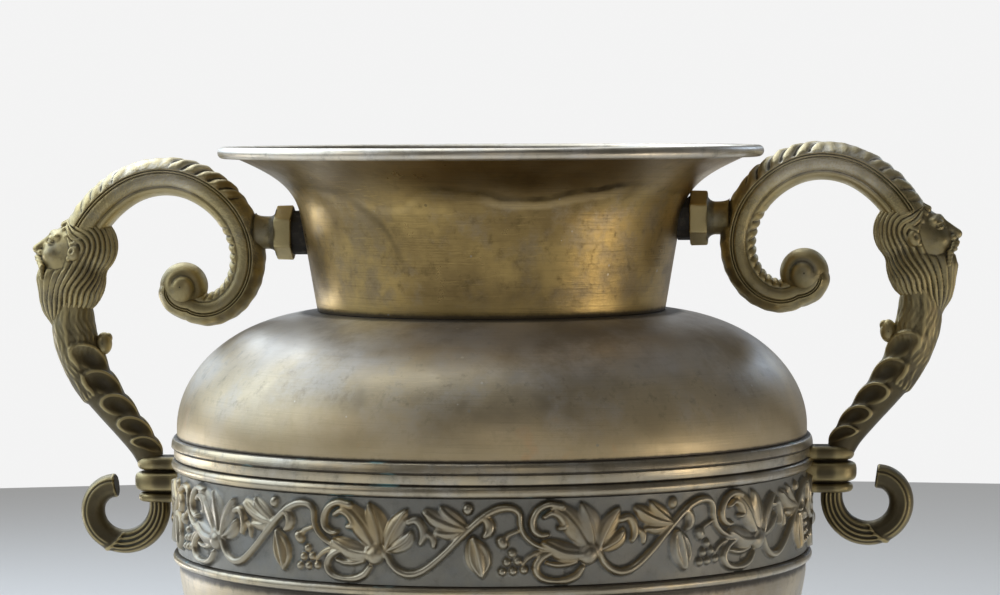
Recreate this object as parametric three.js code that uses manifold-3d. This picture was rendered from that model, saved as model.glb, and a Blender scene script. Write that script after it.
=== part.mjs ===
// A two-handled brass urn on a turned foot, in millimetres, +Z up.
// The origin is the centre of the base, +X points at the right handle and -Y at the viewer.
// The body is a stack of spun shells and cast rings that nest into each other with a small
// clearance. A rod through the stem pulls bowl, knop and foot together. Each handle is one
// casting, held by one screw at the neck and one at the belt.

import * as THREE from "three";
import { mergeVertices } from "three/addons/utils/BufferGeometryUtils.js";
import Module from "manifold-3d";

const wasm = await Module();
wasm.setup();

// Clearances
const GAP = 0.3; // between pieces that touch
const SCREW_PLAY = 0.4; // between a shank and its hole, on the radius

// Walls
const SPUN_WALL = 1.6;
const CAST_WALL = 3;
const BOWL_WALL = 2;
const SPIGOT_WALL = 2;
const SPIGOT_LENGTH = 5;

// Heights of the stack, from the base up
const FOOT_RING_HEIGHT = 12;
const FOOT_HEIGHT = 84;
const KNOP_HEIGHT = 38;
const BOWL_HEIGHT = 140.5;
const LOWER_BELT_HEIGHT = 5;
const FRIEZE_HEIGHT = 40.5;
const BELT_BEAD_HEIGHT = 6;
const BELT_BAND_HEIGHT = 5.5;
const BELT_FILLET_HEIGHT = 5;
const SHOULDER_HEIGHT = 61.5;
const NECK_CONE_HEIGHT = 47.8;
const NECK_FLARE_HEIGHT = 31.2;
const COLLAR_HEIGHT = 8;

// Radii
const BODY_RADIUS = 160; // crest of the belts
const SHELL_SETBACK = 2.8; // shells and frieze ground behind that crest
const BOWL_SETBACK = 3.5; // the bowl's upper edge behind it
const LOWER_BELT_SETBACK = 0.5;
const BAND_SETBACK = 0.4; // the flat band behind the crest
const CREASE_DEPTH = 1.4;
const NECK_FOOT_RADIUS = 86.9;
const NECK_CONE_TOP_RADIUS = 95.3;
const MOUTH_RADIUS = 136;
const RIM_BEAD_RADIUS = 2.9;
const LIP_DROP = 1.3; // the sheet's edge under the middle of the rim bead
const STEM_PAD_RADIUS = 22; // where bowl, knop and foot meet
const KNOP_RADIUS = 29;
const KNOP_WAIST_RADIUS = 16;
const KNOP_BEAD_HEIGHT = 16;
const KNOP_BEAD_BULGE = 10;
const KNOP_PAD_EDGE = 3;
const FOOT_EDGE_RADIUS = 82;
const FOOT_RING_RADIUS = 90;
const FOOT_RING_BORE = 74;
const FOOT_RING_BULGE = 2;
const FOOT_RING_PLINTH = 3; // upright stretch under the ring's bead
const FOOT_EDGE_LIFT = 3; // the foot shell's edge sits in the ring this far under the ring's top

// Where the two handles of each shell's curve lie, as shares of the curve's width and height
const FLARE_PULLS = [
  { across: 0.09, up: 0.54 },
  { across: 0.48, up: 0.73 },
];
const DOME_PULLS = [
  { across: 0.01, up: 0.46 },
  { across: 0.37, up: 0.93 },
];
const BOWL_PULLS = [
  { across: 0.6, up: 0 },
  { across: 0.93, up: 0.5 },
];
const FOOT_PULLS = [
  { across: 0.78, up: 0.2 },
  { across: 1.1, up: 0.55 },
];

// Tie rod and its nuts
const ROD_RADIUS = 4;
const ROD_END = 5; // thread showing past each nut
const ROD_NUT_FLATS = 13;
const ROD_NUT_HEIGHT = 7;
const ROD_WASHER_RADIUS = 13;
const ROD_WASHER_THICKNESS = 2;
const DRILL_OVERSHOOT = 1; // a drill runs this far past the faces that it cuts

// Handle casting. Places rise from the frieze's top. Those of the scroll, the mask and the arm's
// upper end reach out from the radius at the top of the neck's cone, those of the clasp, the
// volute and the arm's foot from the body's crest.
const RIGHT_HANDLE_LIFT = 3.5; // the right handle was fitted a little higher than the left
const LEFT_HANDLE_LIFT = -3.5;
const SCROLL_EYE = { reach: 60.5, rise: 93.2 };
const SCROLL_RADIUS = 57.8; // from the eye to the middle of the bar, over the top
const SCROLL_PITCH = 100.8; // how far a full turn winds in
const SCROLL_START = 29; // degrees, inside the mask
const SCROLL_WIND_IN = 58; // degrees, where the bar starts to wind in
const SCROLL_EASE = 40; // degrees over which it does
const SCROLL_END = 246; // degrees, at the ball
const SCROLL_DEPTH = 20; // the bar, in the plane of the scroll
const SCROLL_END_DEPTH = 16;
const SCROLL_WIDTH = 22; // the bar, across that plane
const SCROLL_END_WIDTH = 18;
const BALL_RADIUS = 12.1;

const STUB_RISE = 120.2; // the stub's axis above the frieze's top
const STUB_RADIUS = 8.5;
const STUB_FILLET = 3.5;
const FLANGE_FLATS = 24;
const FLANGE_THICKNESS = 6;
const SADDLE_INSET = 1; // the packing's edge inside the flange's flats
const SCREW_RADIUS = 3;
const SCREW_HEAD_RADIUS = 6;
const SCREW_HEAD_HEIGHT = 4;
const SCREW_BITE = 14; // depth of the tapped hole
const SCREW_TIP_PLAY = 1; // between the screw's tip and the hole's floor
const WASHER_RADIUS = 8;
const WASHER_THICKNESS = 3;

const HEAD_CENTRE = { reach: 113.7, rise: 110.5 };
const HEAD_TILT = 20; // degrees that the face looks up
const HEAD_DEPTH = 35;
const HEAD_WIDTH = 28;
const HEAD_HEIGHT = 40;
const BEARD_TIP = { reach: 125.2, rise: 70 };
const BEARD_WIDTH = 22;
const BEARD_DEPTH = 27;
const BEARD_OVERLAP = 1.5; // the beard's egg is this much longer than from jaw to tip
const JAW = { out: 1.8, up: -12 }; // from the middle of the head
const NAPE = { out: -4, up: -13 }; // middle of the hair that falls behind the beard
const NAPE_DEPTH = 26;
const NAPE_WIDTH = 23;
const NAPE_HEIGHT = 34;
const FACE_THIRD = 4.6; // half of one of the face's three equal thirds
const FEATURE_DEPTH = 8;
const BROW_WIDTH = 19.6;
const BROW_HEIGHT = 5;
const BROW_OUT = 14;
const NOSE_WIDTH = 6;

const ARM_TOP = { reach: 117.7, rise: 80 };
const ARM_FOOT = { reach: 13.6, rise: 3 };
const ARM_BEND_TOP = { reach: 112.7, rise: 46 };
const ARM_BEND_FOOT = { reach: 28, rise: 28 };
const ARM_TOP_DEPTH = 21;
const ARM_FOOT_DEPTH = 14;
const ARM_TOP_WIDTH = 18;
const ARM_FOOT_WIDTH = 13;
const ARM_TAPER = 1.5; // above 1, most of the taper lies near the foot
const BUD_AT = 0.12; // share of the arm's length
const BUD_RADIUS = 5;
const BUD_HEIGHT = 12;
const BUD_SUNK = 1;

const CLASP_REACH = 20.4;
const CLASP_WIDTH = 19;
const CLASP_RIDGES = [
  { top: 7.4, bottom: 0.1, swell: 0 },
  { top: 0.1, bottom: -10.7, swell: 1.2 },
  { top: -10.7, bottom: -15.8, swell: -0.6 },
];
const RIDGE_ROUNDING = 1.8;
const GROOVE_DEPTH = 2.9; // between the ridges
const CLASP_SCREW_DROP = 9.5; // the screw's axis under the frieze's top

const VOLUTE_EYE = { reach: 28.5, rise: -18 };
const VOLUTE_RADIUS = 19.3;
const VOLUTE_WIND_IN = 8.1;
const VOLUTE_HOOK = 2.2; // above 1, most of the winding in lies near the tip
const VOLUTE_START = 164; // degrees, inside the clasp
const VOLUTE_END = 423; // degrees, at the tip
const VOLUTE_DEPTH = 11.4;
const VOLUTE_WIDTH = 13;

// Facets
const SIDES = 32; // round the big shells, even, so that a half turn maps them onto themselves
const STEM_SIDES = 24;
const SMALL_SIDES = 10;
const WASHER_SIDES = 12;
const BEAD_SIDES = 8;
const CURVE_STEPS = 5; // along each curve of a shell's outline
const SCROLL_STEPS = 18;
const ARM_STEPS = 9;
const VOLUTE_STEPS = 12;

const WELD = 1e-4;
const DEGREE = Math.PI / 180;

// Levels that follow from the stack
const beltHeight = BELT_BEAD_HEIGHT + BELT_BAND_HEIGHT + BELT_FILLET_HEIGHT;
const footTop = FOOT_RING_HEIGHT + FOOT_HEIGHT;
const knopTop = footTop + KNOP_HEIGHT;
const bowlTop = knopTop + BOWL_HEIGHT;
const lowerBeltTop = bowlTop + LOWER_BELT_HEIGHT;
const friezeTop = lowerBeltTop + FRIEZE_HEIGHT;
const upperBeltTop = friezeTop + beltHeight;
const shoulderTop = upperBeltTop + SHOULDER_HEIGHT;
const rimLevel = shoulderTop + NECK_CONE_HEIGHT + NECK_FLARE_HEIGHT;
const shellRadius = BODY_RADIUS - SHELL_SETBACK;
const lipRadius = MOUTH_RADIUS - 2 * RIM_BEAD_RADIUS;

// Materials, as the photograph shows them
function finish(color, roughness, metalness) {
  return new THREE.MeshStandardMaterial({ color, roughness, metalness });
}

const neckBrass = finish(0x9c7d45, 0.32, 0.95);
const bodyBronze = finish(0x7d6c50, 0.42, 0.9);
const reliefBronze = finish(0x857657, 0.5, 0.85);
const castBrass = finish(0x8f7a48, 0.5, 0.85);
const darkPacking = finish(0x2b241c, 0.9, 0.1);
const screwSteel = finish(0x8a8a88, 0.4, 0.9);

// A closed geometry as a solid: its vertices are welded and flat triangles dropped.
function solidOf(geometry) {
  const bare = geometry.clone();
  bare.deleteAttribute("normal");
  bare.deleteAttribute("uv");
  const welded = mergeVertices(bare, WELD);
  const corners = [];
  const index = welded.index.array;
  for (let i = 0; i < index.length; i += 3) {
    const [a, b, c] = index.slice(i, i + 3);
    if (a !== b && b !== c && c !== a) corners.push(a, b, c);
  }
  return new wasm.Manifold(
    new wasm.Mesh({
      numProp: 3,
      vertProperties: welded.attributes.position.array,
      triVerts: new Uint32Array(corners),
    }),
  );
}

// A solid as a named mesh.
function piece(name, solid, material) {
  const made = solid.getMesh();
  const geometry = new THREE.BufferGeometry();
  geometry.setAttribute("position", new THREE.BufferAttribute(made.vertProperties, 3));
  geometry.setIndex(new THREE.BufferAttribute(made.triVerts, 1));
  geometry.computeVertexNormals();
  const mesh = new THREE.Mesh(geometry, material);
  mesh.name = name;
  return mesh;
}

// A closed outline of radius and height, turned about Z.
function turned(outline, sides) {
  const area = THREE.ShapeUtils.area(outline);
  const loop = area > 0 ? outline.slice() : outline.slice().reverse();
  loop.push(loop[0].clone());
  const lathe = new THREE.LatheGeometry(loop, sides);
  lathe.rotateX(Math.PI / 2);
  return solidOf(lathe);
}

// The same line, moved sideways to its left by a distance.
function offsetLine(points, distance) {
  return points.map((point, i) => {
    const before = points[Math.max(i - 1, 0)];
    const after = points[Math.min(i + 1, points.length - 1)];
    const along = after.clone().sub(before).normalize();
    return new THREE.Vector2(point.x - along.y * distance, point.y + along.x * distance);
  });
}

// A sheet wall: the outer line from bottom to top, then the inner one back down.
function wall(outerLine, thickness) {
  return outerLine.concat(offsetLine(outerLine, thickness).reverse());
}

// A straight round bar between two places on a level line along X.
function crossBar(radius, from, to, level, sides = SMALL_SIDES) {
  const bar = new THREE.CylinderGeometry(radius, radius, to - from, sides);
  bar.rotateZ(-Math.PI / 2);
  bar.translate((from + to) / 2, 0, level);
  return solidOf(bar);
}

// An upright round or many-sided bar.
function uprightBar(radius, bottom, top, sides = SMALL_SIDES) {
  const bar = new THREE.CylinderGeometry(radius, radius, top - bottom, sides);
  bar.rotateX(Math.PI / 2);
  bar.translate(0, 0, (bottom + top) / 2);
  return solidOf(bar);
}

// An egg of three full widths, tilted in the plane of the handle.
function egg(centre, depth, width, height, tilt, sides = 12) {
  const rings = Math.round((2 * sides) / 3);
  const ball = new THREE.SphereGeometry(0.5, sides, rings);
  ball.rotateX(Math.PI / 2);
  ball.scale(depth, width, height);
  ball.rotateY(-tilt * DEGREE);
  ball.translate(centre.x, 0, centre.z);
  return solidOf(ball);
}

// A bar with the outline given in half widths, bent along a path in the XZ plane.
// The outline's x lies across the path and its y along Y. sizeAt gives both full widths.
function bentBar(outline, pathAt, sizeAt, steps) {
  const bar = new THREE.ExtrudeGeometry(outline, { depth: 1, steps, bevelEnabled: false });
  const place = bar.getAttribute("position");
  const slight = 1e-3;
  for (let i = 0; i < place.count; i += 1) {
    const t = place.getZ(i);
    const at = pathAt(t);
    const ahead = pathAt(t + slight);
    const behind = pathAt(t - slight);
    const along = new THREE.Vector2(ahead.x - behind.x, ahead.z - behind.z).normalize();
    const size = sizeAt(t);
    const across = (place.getX(i) * size.depth) / 2;
    place.setXYZ(
      i,
      at.x + along.y * across,
      (place.getY(i) * size.width) / 2,
      at.z - along.x * across,
    );
  }
  return solidOf(bar);
}

const blend = (from, to, t) => from + (to - from) * t;

// Places on the handle, from reach and rise to X and Z.
function fromNeck(spot) {
  return { x: NECK_CONE_TOP_RADIUS + spot.reach, z: friezeTop + spot.rise };
}

function fromBody(spot) {
  return { x: BODY_RADIUS + spot.reach, z: friezeTop + spot.rise };
}

// Outlines of the shells

// Adds a curve to a path, bent by two pulls.
function curveTo(path, x, y, pulls) {
  const { x: fromX, y: fromY } = path.currentPoint;
  const [first, second] = pulls.map(({ across, up }) => ({
    x: blend(fromX, x, across),
    y: blend(fromY, y, up),
  }));
  path.bezierCurveTo(first.x, first.y, second.x, second.y, x, y);
}

// The neck's outside: a steep cone that opens into the flared mouth.
function neckLine() {
  const path = new THREE.Path();
  path.moveTo(NECK_FOOT_RADIUS, shoulderTop + GAP);
  path.lineTo(NECK_CONE_TOP_RADIUS, shoulderTop + NECK_CONE_HEIGHT);
  curveTo(path, lipRadius, rimLevel - LIP_DROP, FLARE_PULLS);
  return path.getPoints(CURVE_STEPS);
}

// The shoulder's outside: upright beside the belt's spigot, then rounding over to the neck.
function shoulderLine() {
  const path = new THREE.Path();
  path.moveTo(shellRadius, upperBeltTop + GAP);
  path.lineTo(shellRadius, upperBeltTop + SPIGOT_LENGTH + 2 * GAP);
  curveTo(path, NECK_FOOT_RADIUS + SPUN_WALL, shoulderTop, DOME_PULLS);
  return path.getPoints(CURVE_STEPS);
}

// The bowl's outside, from its flat pad up to the lower belt.
function bowlLine() {
  const path = new THREE.Path();
  const edge = BODY_RADIUS - BOWL_SETBACK;
  path.moveTo(STEM_PAD_RADIUS, knopTop + GAP);
  curveTo(path, edge, bowlTop - SPIGOT_LENGTH - 2 * GAP, BOWL_PULLS);
  path.lineTo(edge, bowlTop - GAP);
  return path.getPoints(CURVE_STEPS);
}

// The foot's outside, from an upright edge in the ring up to its flat top.
function footLine() {
  const path = new THREE.Path();
  path.moveTo(FOOT_EDGE_RADIUS, FOOT_RING_HEIGHT - FOOT_EDGE_LIFT + GAP);
  path.lineTo(FOOT_EDGE_RADIUS, FOOT_RING_HEIGHT + GAP);
  curveTo(path, STEM_PAD_RADIUS, footTop - GAP, FOOT_PULLS);
  return path.getPoints(CURVE_STEPS);
}

// A half-round bead between two levels, from bottom to top.
function beadPoints(radius, bottom, top, bulge, steps = 4) {
  return Array.from({ length: steps + 1 }, (_, i) => {
    const turn = (i / steps) * Math.PI;
    const level = (bottom + top) / 2 - (Math.cos(turn) * (top - bottom)) / 2;
    return new THREE.Vector2(radius - bulge + Math.sin(turn) * bulge, level);
  });
}

// A moulded ring with a spigot up into one neighbour and one down into the other.
function beltRing(face, upperBore, lowerBore) {
  const bottom = face[0].y;
  const top = face[face.length - 1].y;
  const inner = Math.min(upperBore, lowerBore) - GAP - SPIGOT_WALL;
  const corner = (radius, level) => new THREE.Vector2(radius, level);
  return turned(
    [
      corner(inner, bottom - SPIGOT_LENGTH),
      corner(lowerBore - GAP, bottom - SPIGOT_LENGTH),
      corner(lowerBore - GAP, bottom),
      ...face,
      corner(upperBore - GAP, top),
      corner(upperBore - GAP, top + SPIGOT_LENGTH),
      corner(inner, top + SPIGOT_LENGTH),
    ],
    SIDES,
  );
}

// Bores of the shells, which the belts' spigots fit
const shoulderBore = shellRadius - SPUN_WALL;
const friezeBore = shellRadius - CAST_WALL;
const bowlBore = BODY_RADIUS - BOWL_SETBACK - BOWL_WALL;

function makeRimBead() {
  const centre = MOUTH_RADIUS - RIM_BEAD_RADIUS;
  const ring = new THREE.Path();
  ring.absarc(centre, rimLevel, RIM_BEAD_RADIUS, 0, 2 * Math.PI);
  const loop = ring.getSpacedPoints(BEAD_SIDES).slice(0, -1);
  return piece("rim_bead", turned(loop, SIDES), neckBrass);
}

function makeNeck() {
  let shell = turned(wall(neckLine(), SPUN_WALL), SIDES);
  for (const side of [-1, 1]) {
    const level = stubLevel + (side > 0 ? RIGHT_HANDLE_LIFT : LEFT_HANDLE_LIFT);
    const hole = crossBar(SCREW_RADIUS + SCREW_PLAY, 0, MOUTH_RADIUS, level);
    shell = shell.subtract(side > 0 ? hole : hole.rotate([0, 0, 180]));
  }
  return piece("neck", shell, neckBrass);
}

// The dome ends in a collar that stands up inside the neck.
function makeShoulder() {
  const dome = shoulderLine();
  const collar = NECK_FOOT_RADIUS - SPUN_WALL - GAP;
  const outer = dome.concat([
    new THREE.Vector2(collar, shoulderTop),
    new THREE.Vector2(collar, shoulderTop + COLLAR_HEIGHT),
  ]);
  const inner = offsetLine(dome, SPUN_WALL).reverse();
  inner[0].x = collar - SPUN_WALL;
  const top = new THREE.Vector2(collar - SPUN_WALL, shoulderTop + COLLAR_HEIGHT);
  return piece("shoulder", turned([...outer, top, ...inner], SIDES), bodyBronze);
}

// From the frieze up: a round bead, a flat band behind a crease, and a slim upper bead.
// Its lower spigot is notched for the washers of the clasp screws.
function makeUpperBelt() {
  const bandBottom = friezeTop + BELT_BEAD_HEIGHT;
  const bandTop = bandBottom + BELT_BAND_HEIGHT;
  const face = [
    ...beadPoints(BODY_RADIUS, friezeTop + GAP, bandBottom, SHELL_SETBACK),
    new THREE.Vector2(BODY_RADIUS - CREASE_DEPTH, bandBottom),
    new THREE.Vector2(BODY_RADIUS - BAND_SETBACK, bandBottom + CREASE_DEPTH / 2),
    new THREE.Vector2(BODY_RADIUS - BAND_SETBACK, bandTop - CREASE_DEPTH / 2),
    ...beadPoints(BODY_RADIUS, bandTop, upperBeltTop, CREASE_DEPTH, 3),
  ];
  let ring = beltRing(face, shoulderBore, friezeBore);
  for (const side of [-1, 1]) {
    const level = claspScrewLevel + (side > 0 ? RIGHT_HANDLE_LIFT : LEFT_HANDLE_LIFT);
    const notch = crossBar(WASHER_RADIUS + GAP, 0, friezeBore, level, WASHER_SIDES);
    ring = ring.subtract(side > 0 ? notch : notch.rotate([0, 0, 180]));
  }
  return piece("upper_belt", ring, bodyBronze);
}

// The frieze's ground. Its scroll of vines stands on it as carving.
function makeFrieze() {
  const bottom = lowerBeltTop + GAP;
  const loop = [
    new THREE.Vector2(friezeBore, bottom),
    new THREE.Vector2(shellRadius, bottom),
    new THREE.Vector2(shellRadius, friezeTop),
    new THREE.Vector2(friezeBore, friezeTop),
  ];
  let band = turned(loop, SIDES);
  for (const side of [-1, 1]) {
    const level = claspScrewLevel + (side > 0 ? RIGHT_HANDLE_LIFT : LEFT_HANDLE_LIFT);
    const hole = crossBar(SCREW_RADIUS + SCREW_PLAY, 0, BODY_RADIUS, level);
    band = band.subtract(side > 0 ? hole : hole.rotate([0, 0, 180]));
  }
  return piece("frieze_band", band, reliefBronze);
}

function makeLowerBelt() {
  const crest = BODY_RADIUS - LOWER_BELT_SETBACK;
  const bulge = SHELL_SETBACK - LOWER_BELT_SETBACK;
  const face = beadPoints(crest, bowlTop, lowerBeltTop, bulge);
  return piece("lower_belt", beltRing(face, friezeBore, bowlBore), bodyBronze);
}

function makeBowl() {
  const side = bowlLine();
  const inner = offsetLine(side, BOWL_WALL).reverse();
  const hole = ROD_RADIUS + SCREW_PLAY;
  const loop = [
    new THREE.Vector2(hole, side[0].y),
    ...side,
    ...inner,
    new THREE.Vector2(hole, side[0].y + BOWL_WALL),
  ];
  return piece("bowl", turned(loop, SIDES), bodyBronze);
}

// A turned collar with a round bead between two waists.
function makeKnop() {
  const bore = ROD_RADIUS + SCREW_PLAY;
  const middle = (footTop + knopTop) / 2;
  const beadBottom = middle - KNOP_BEAD_HEIGHT / 2;
  const beadTop = middle + KNOP_BEAD_HEIGHT / 2;
  const padBottom = footTop + KNOP_PAD_EDGE;
  const padTop = knopTop - KNOP_PAD_EDGE;
  const loop = [
    new THREE.Vector2(bore, footTop),
    new THREE.Vector2(STEM_PAD_RADIUS, footTop),
    new THREE.Vector2(STEM_PAD_RADIUS, padBottom),
    new THREE.Vector2(KNOP_WAIST_RADIUS, (padBottom + beadBottom) / 2),
    ...beadPoints(KNOP_RADIUS, beadBottom, beadTop, KNOP_BEAD_BULGE, 5),
    new THREE.Vector2(KNOP_WAIST_RADIUS, (padTop + beadTop) / 2),
    new THREE.Vector2(STEM_PAD_RADIUS, padTop),
    new THREE.Vector2(STEM_PAD_RADIUS, knopTop),
    new THREE.Vector2(bore, knopTop),
  ];
  return piece("stem_knop", turned(loop, STEM_SIDES), bodyBronze);
}

function makeFoot() {
  const side = footLine();
  const inner = offsetLine(side, BOWL_WALL).reverse();
  const hole = ROD_RADIUS + SCREW_PLAY;
  const last = side[side.length - 1].y;
  inner[0] = new THREE.Vector2(STEM_PAD_RADIUS - BOWL_WALL, last - BOWL_WALL);
  const loop = [
    ...side,
    new THREE.Vector2(hole, last),
    new THREE.Vector2(hole, last - BOWL_WALL),
    ...inner,
  ];
  return piece("foot", turned(loop, STEM_SIDES), bodyBronze);
}

// The ring that the urn stands on, with a ledge for the foot's edge.
function makeFootRing() {
  const ledge = FOOT_RING_HEIGHT - FOOT_EDGE_LIFT;
  const loop = [
    new THREE.Vector2(FOOT_RING_BORE, 0),
    new THREE.Vector2(FOOT_RING_RADIUS, 0),
    ...beadPoints(FOOT_RING_RADIUS, FOOT_RING_PLINTH, ledge, FOOT_RING_BULGE),
    new THREE.Vector2(FOOT_EDGE_RADIUS + 2 * GAP, FOOT_RING_HEIGHT),
    new THREE.Vector2(FOOT_EDGE_RADIUS + GAP, ledge - GAP),
    new THREE.Vector2(FOOT_RING_BORE, ledge - GAP),
  ];
  return piece("foot_ring", turned(loop, STEM_SIDES), bodyBronze);
}

// Levels of the rod's parts, out from the two pads
const upperWasherBottom = knopTop + GAP + BOWL_WALL + GAP;
const upperNutBottom = upperWasherBottom + ROD_WASHER_THICKNESS + GAP;
const lowerWasherTop = footTop - GAP - BOWL_WALL - GAP;
const lowerNutTop = lowerWasherTop - ROD_WASHER_THICKNESS - GAP;

function makeTieRod() {
  const bottom = lowerNutTop - ROD_NUT_HEIGHT - ROD_END;
  const top = upperNutBottom + ROD_NUT_HEIGHT + ROD_END;
  return piece("tie_rod", uprightBar(ROD_RADIUS, bottom, top), screwSteel);
}

function drilled(bar, bottom, top) {
  const radius = ROD_RADIUS + SCREW_PLAY;
  return bar.subtract(uprightBar(radius, bottom - DRILL_OVERSHOOT, top + DRILL_OVERSHOOT));
}

function makeRodNut(name, bottom) {
  const top = bottom + ROD_NUT_HEIGHT;
  const cornerRadius = ROD_NUT_FLATS / 2 / Math.cos(Math.PI / 6);
  return piece(name, drilled(uprightBar(cornerRadius, bottom, top, 6), bottom, top), screwSteel);
}

function makeRodWasher(name, bottom) {
  const top = bottom + ROD_WASHER_THICKNESS;
  const disc = uprightBar(ROD_WASHER_RADIUS, bottom, top, WASHER_SIDES);
  return piece(name, drilled(disc, bottom, top), screwSteel);
}

// Handles

const stubLevel = friezeTop + STUB_RISE;
const claspScrewLevel = friezeTop - CLASP_SCREW_DROP;

// The radius of the neck's outside at a level, between the points of its line.
function neckRadiusAt(level) {
  const line = neckLine();
  const next = line.findIndex((point) => point.y >= level);
  if (next <= 0) return next === 0 ? line[0].x : line[line.length - 1].x;
  const below = line[next - 1];
  const above = line[next];
  return blend(below.x, above.x, (level - below.y) / (above.y - below.y));
}

// The flange's inner face clears the flare beside the higher handle.
const highLift = Math.max(RIGHT_HANDLE_LIFT, LEFT_HANDLE_LIFT);
const flangeCorner = FLANGE_FLATS / 2 / Math.cos(Math.PI / 6);
const flangeFace = neckRadiusAt(stubLevel + highLift + flangeCorner) + GAP;

// The neck as a full solid, its outside moved out by a distance or its inside moved in.
function neckCore(growth) {
  const line = offsetLine(neckLine(), -growth);
  const bottom = new THREE.Vector2(0, line[0].y);
  const top = new THREE.Vector2(0, line[line.length - 1].y);
  return turned([bottom, ...line, top], SIDES);
}

// Everything that a clasp has to keep clear of: belts and frieze, with the gap added.
function beltCore() {
  const crest = BODY_RADIUS + GAP;
  const ground = shellRadius + GAP;
  return turned(
    [
      new THREE.Vector2(0, bowlTop),
      new THREE.Vector2(ground, bowlTop),
      new THREE.Vector2(ground, friezeTop - GAP),
      new THREE.Vector2(crest, friezeTop - GAP),
      new THREE.Vector2(crest, upperBeltTop + GAP),
      new THREE.Vector2(0, upperBeltTop + GAP),
    ],
    SIDES,
  );
}

// The scroll's middle line winds in towards its eye, gently at first.
function scrollAt(t) {
  const angle = blend(SCROLL_START, SCROLL_END, t);
  const past = Math.max(angle - SCROLL_WIND_IN, 0);
  const eased = past < SCROLL_EASE ? past ** 2 / (2 * SCROLL_EASE) : past - SCROLL_EASE / 2;
  const radius = SCROLL_RADIUS - (eased / 360) * SCROLL_PITCH;
  const eye = fromNeck(SCROLL_EYE);
  return {
    x: eye.x + Math.cos(angle * DEGREE) * radius,
    z: eye.z + Math.sin(angle * DEGREE) * radius,
  };
}

// Half of each bar's outline, in half widths: a round back, two reeds and a slim inner edge.
const SCROLL_PROFILE = [
  [1, 0],
  [0.9, 0.46],
  [0.6, 0.8],
  [0.36, 1],
  [0.04, 0.94],
  [-0.12, 0.78],
  [-0.32, 0.92],
  [-0.54, 0.86],
  [-0.64, 0.68],
  [-0.94, 0.6],
  [-1, 0],
];
const VOLUTE_PROFILE = [
  [1, 0],
  [0.76, 0.8],
  [0.2, 1],
  [0, 0.8],
  [-0.3, 0.94],
  [-0.84, 0.66],
  [-1, 0],
];

function reededOutline(profile) {
  const upper = profile.map(([x, y]) => new THREE.Vector2(x, y));
  const lower = upper.slice(1, -1).reverse();
  return new THREE.Shape(upper.concat(lower.map((point) => new THREE.Vector2(point.x, -point.y))));
}

function roundOutline(sides) {
  const outline = new THREE.Shape();
  outline.absarc(0, 0, 1, 0, 2 * Math.PI);
  return new THREE.Shape(outline.getSpacedPoints(sides).slice(0, -1));
}

function makeScroll() {
  const sizeAt = (t) => ({
    depth: blend(SCROLL_DEPTH, SCROLL_END_DEPTH, t),
    width: blend(SCROLL_WIDTH, SCROLL_END_WIDTH, t),
  });
  const eye = fromNeck(SCROLL_EYE);
  const ball = egg(eye, 2 * BALL_RADIUS, 2 * BALL_RADIUS, 2 * BALL_RADIUS, 0, 12);
  const outline = reededOutline(SCROLL_PROFILE);
  return bentBar(outline, scrollAt, sizeAt, SCROLL_STEPS).add(ball);
}

// A round stub with a hollow fillet at each end and a six-sided flange at the neck.
function makeStub() {
  const inside = fromNeck(SCROLL_EYE).x - SCROLL_RADIUS / 2; // well inside the scroll's bar
  const shoulder = flangeFace + FLANGE_THICKNESS;
  const outer = STUB_RADIUS + STUB_FILLET;
  const fillet = new THREE.Path();
  fillet.absarc(outer, shoulder + STUB_FILLET, STUB_FILLET, -Math.PI / 2, -Math.PI, true);
  const stub = new THREE.LatheGeometry(
    [
      new THREE.Vector2(0, flangeFace),
      new THREE.Vector2(outer, shoulder - GAP),
      ...fillet.getPoints(1),
      new THREE.Vector2(STUB_RADIUS, inside),
      new THREE.Vector2(0, inside),
    ],
    SMALL_SIDES,
  );
  stub.rotateZ(-Math.PI / 2);
  stub.translate(0, 0, stubLevel);
  const flange = new THREE.CylinderGeometry(flangeCorner, flangeCorner, FLANGE_THICKNESS, 6);
  flange.rotateZ(-Math.PI / 2);
  flange.translate(flangeFace + FLANGE_THICKNESS / 2, 0, stubLevel);
  return solidOf(stub).add(solidOf(flange));
}

// A bearded mask that looks outwards, with plain brow and nose set out by thirds.
function makeMask() {
  const centre = fromNeck(HEAD_CENTRE);
  const tip = fromNeck(BEARD_TIP);
  const facing = HEAD_TILT * DEGREE;
  const onFace = (out, up) => ({
    x: centre.x + Math.cos(facing) * out - Math.sin(facing) * up,
    z: centre.z + Math.sin(facing) * out + Math.cos(facing) * up,
  });
  const skull = egg(centre, HEAD_DEPTH, HEAD_WIDTH, HEAD_HEIGHT, HEAD_TILT, 10);
  const browAt = onFace(BROW_OUT, FACE_THIRD);
  const brow = egg(browAt, FEATURE_DEPTH, BROW_WIDTH, BROW_HEIGHT, HEAD_TILT, 6);
  const noseAt = onFace(HEAD_DEPTH / 2, -FACE_THIRD);
  const nose = egg(noseAt, FEATURE_DEPTH, NOSE_WIDTH, 3 * FACE_THIRD, HEAD_TILT, 6);
  const jaw = onFace(JAW.out, JAW.up);
  const middle = { x: (jaw.x + tip.x) / 2, z: (jaw.z + tip.z) / 2 };
  const length = Math.hypot(jaw.x - tip.x, jaw.z - tip.z) * BEARD_OVERLAP;
  const lean = Math.atan2(tip.x - jaw.x, jaw.z - tip.z) / DEGREE;
  const beard = egg(middle, BEARD_DEPTH, BEARD_WIDTH, length, lean, 10);
  const napeAt = onFace(NAPE.out, NAPE.up);
  const nape = egg(napeAt, NAPE_DEPTH, NAPE_WIDTH, NAPE_HEIGHT, HEAD_TILT, 8);
  return skull.add(brow).add(nose).add(beard).add(nape);
}

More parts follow.
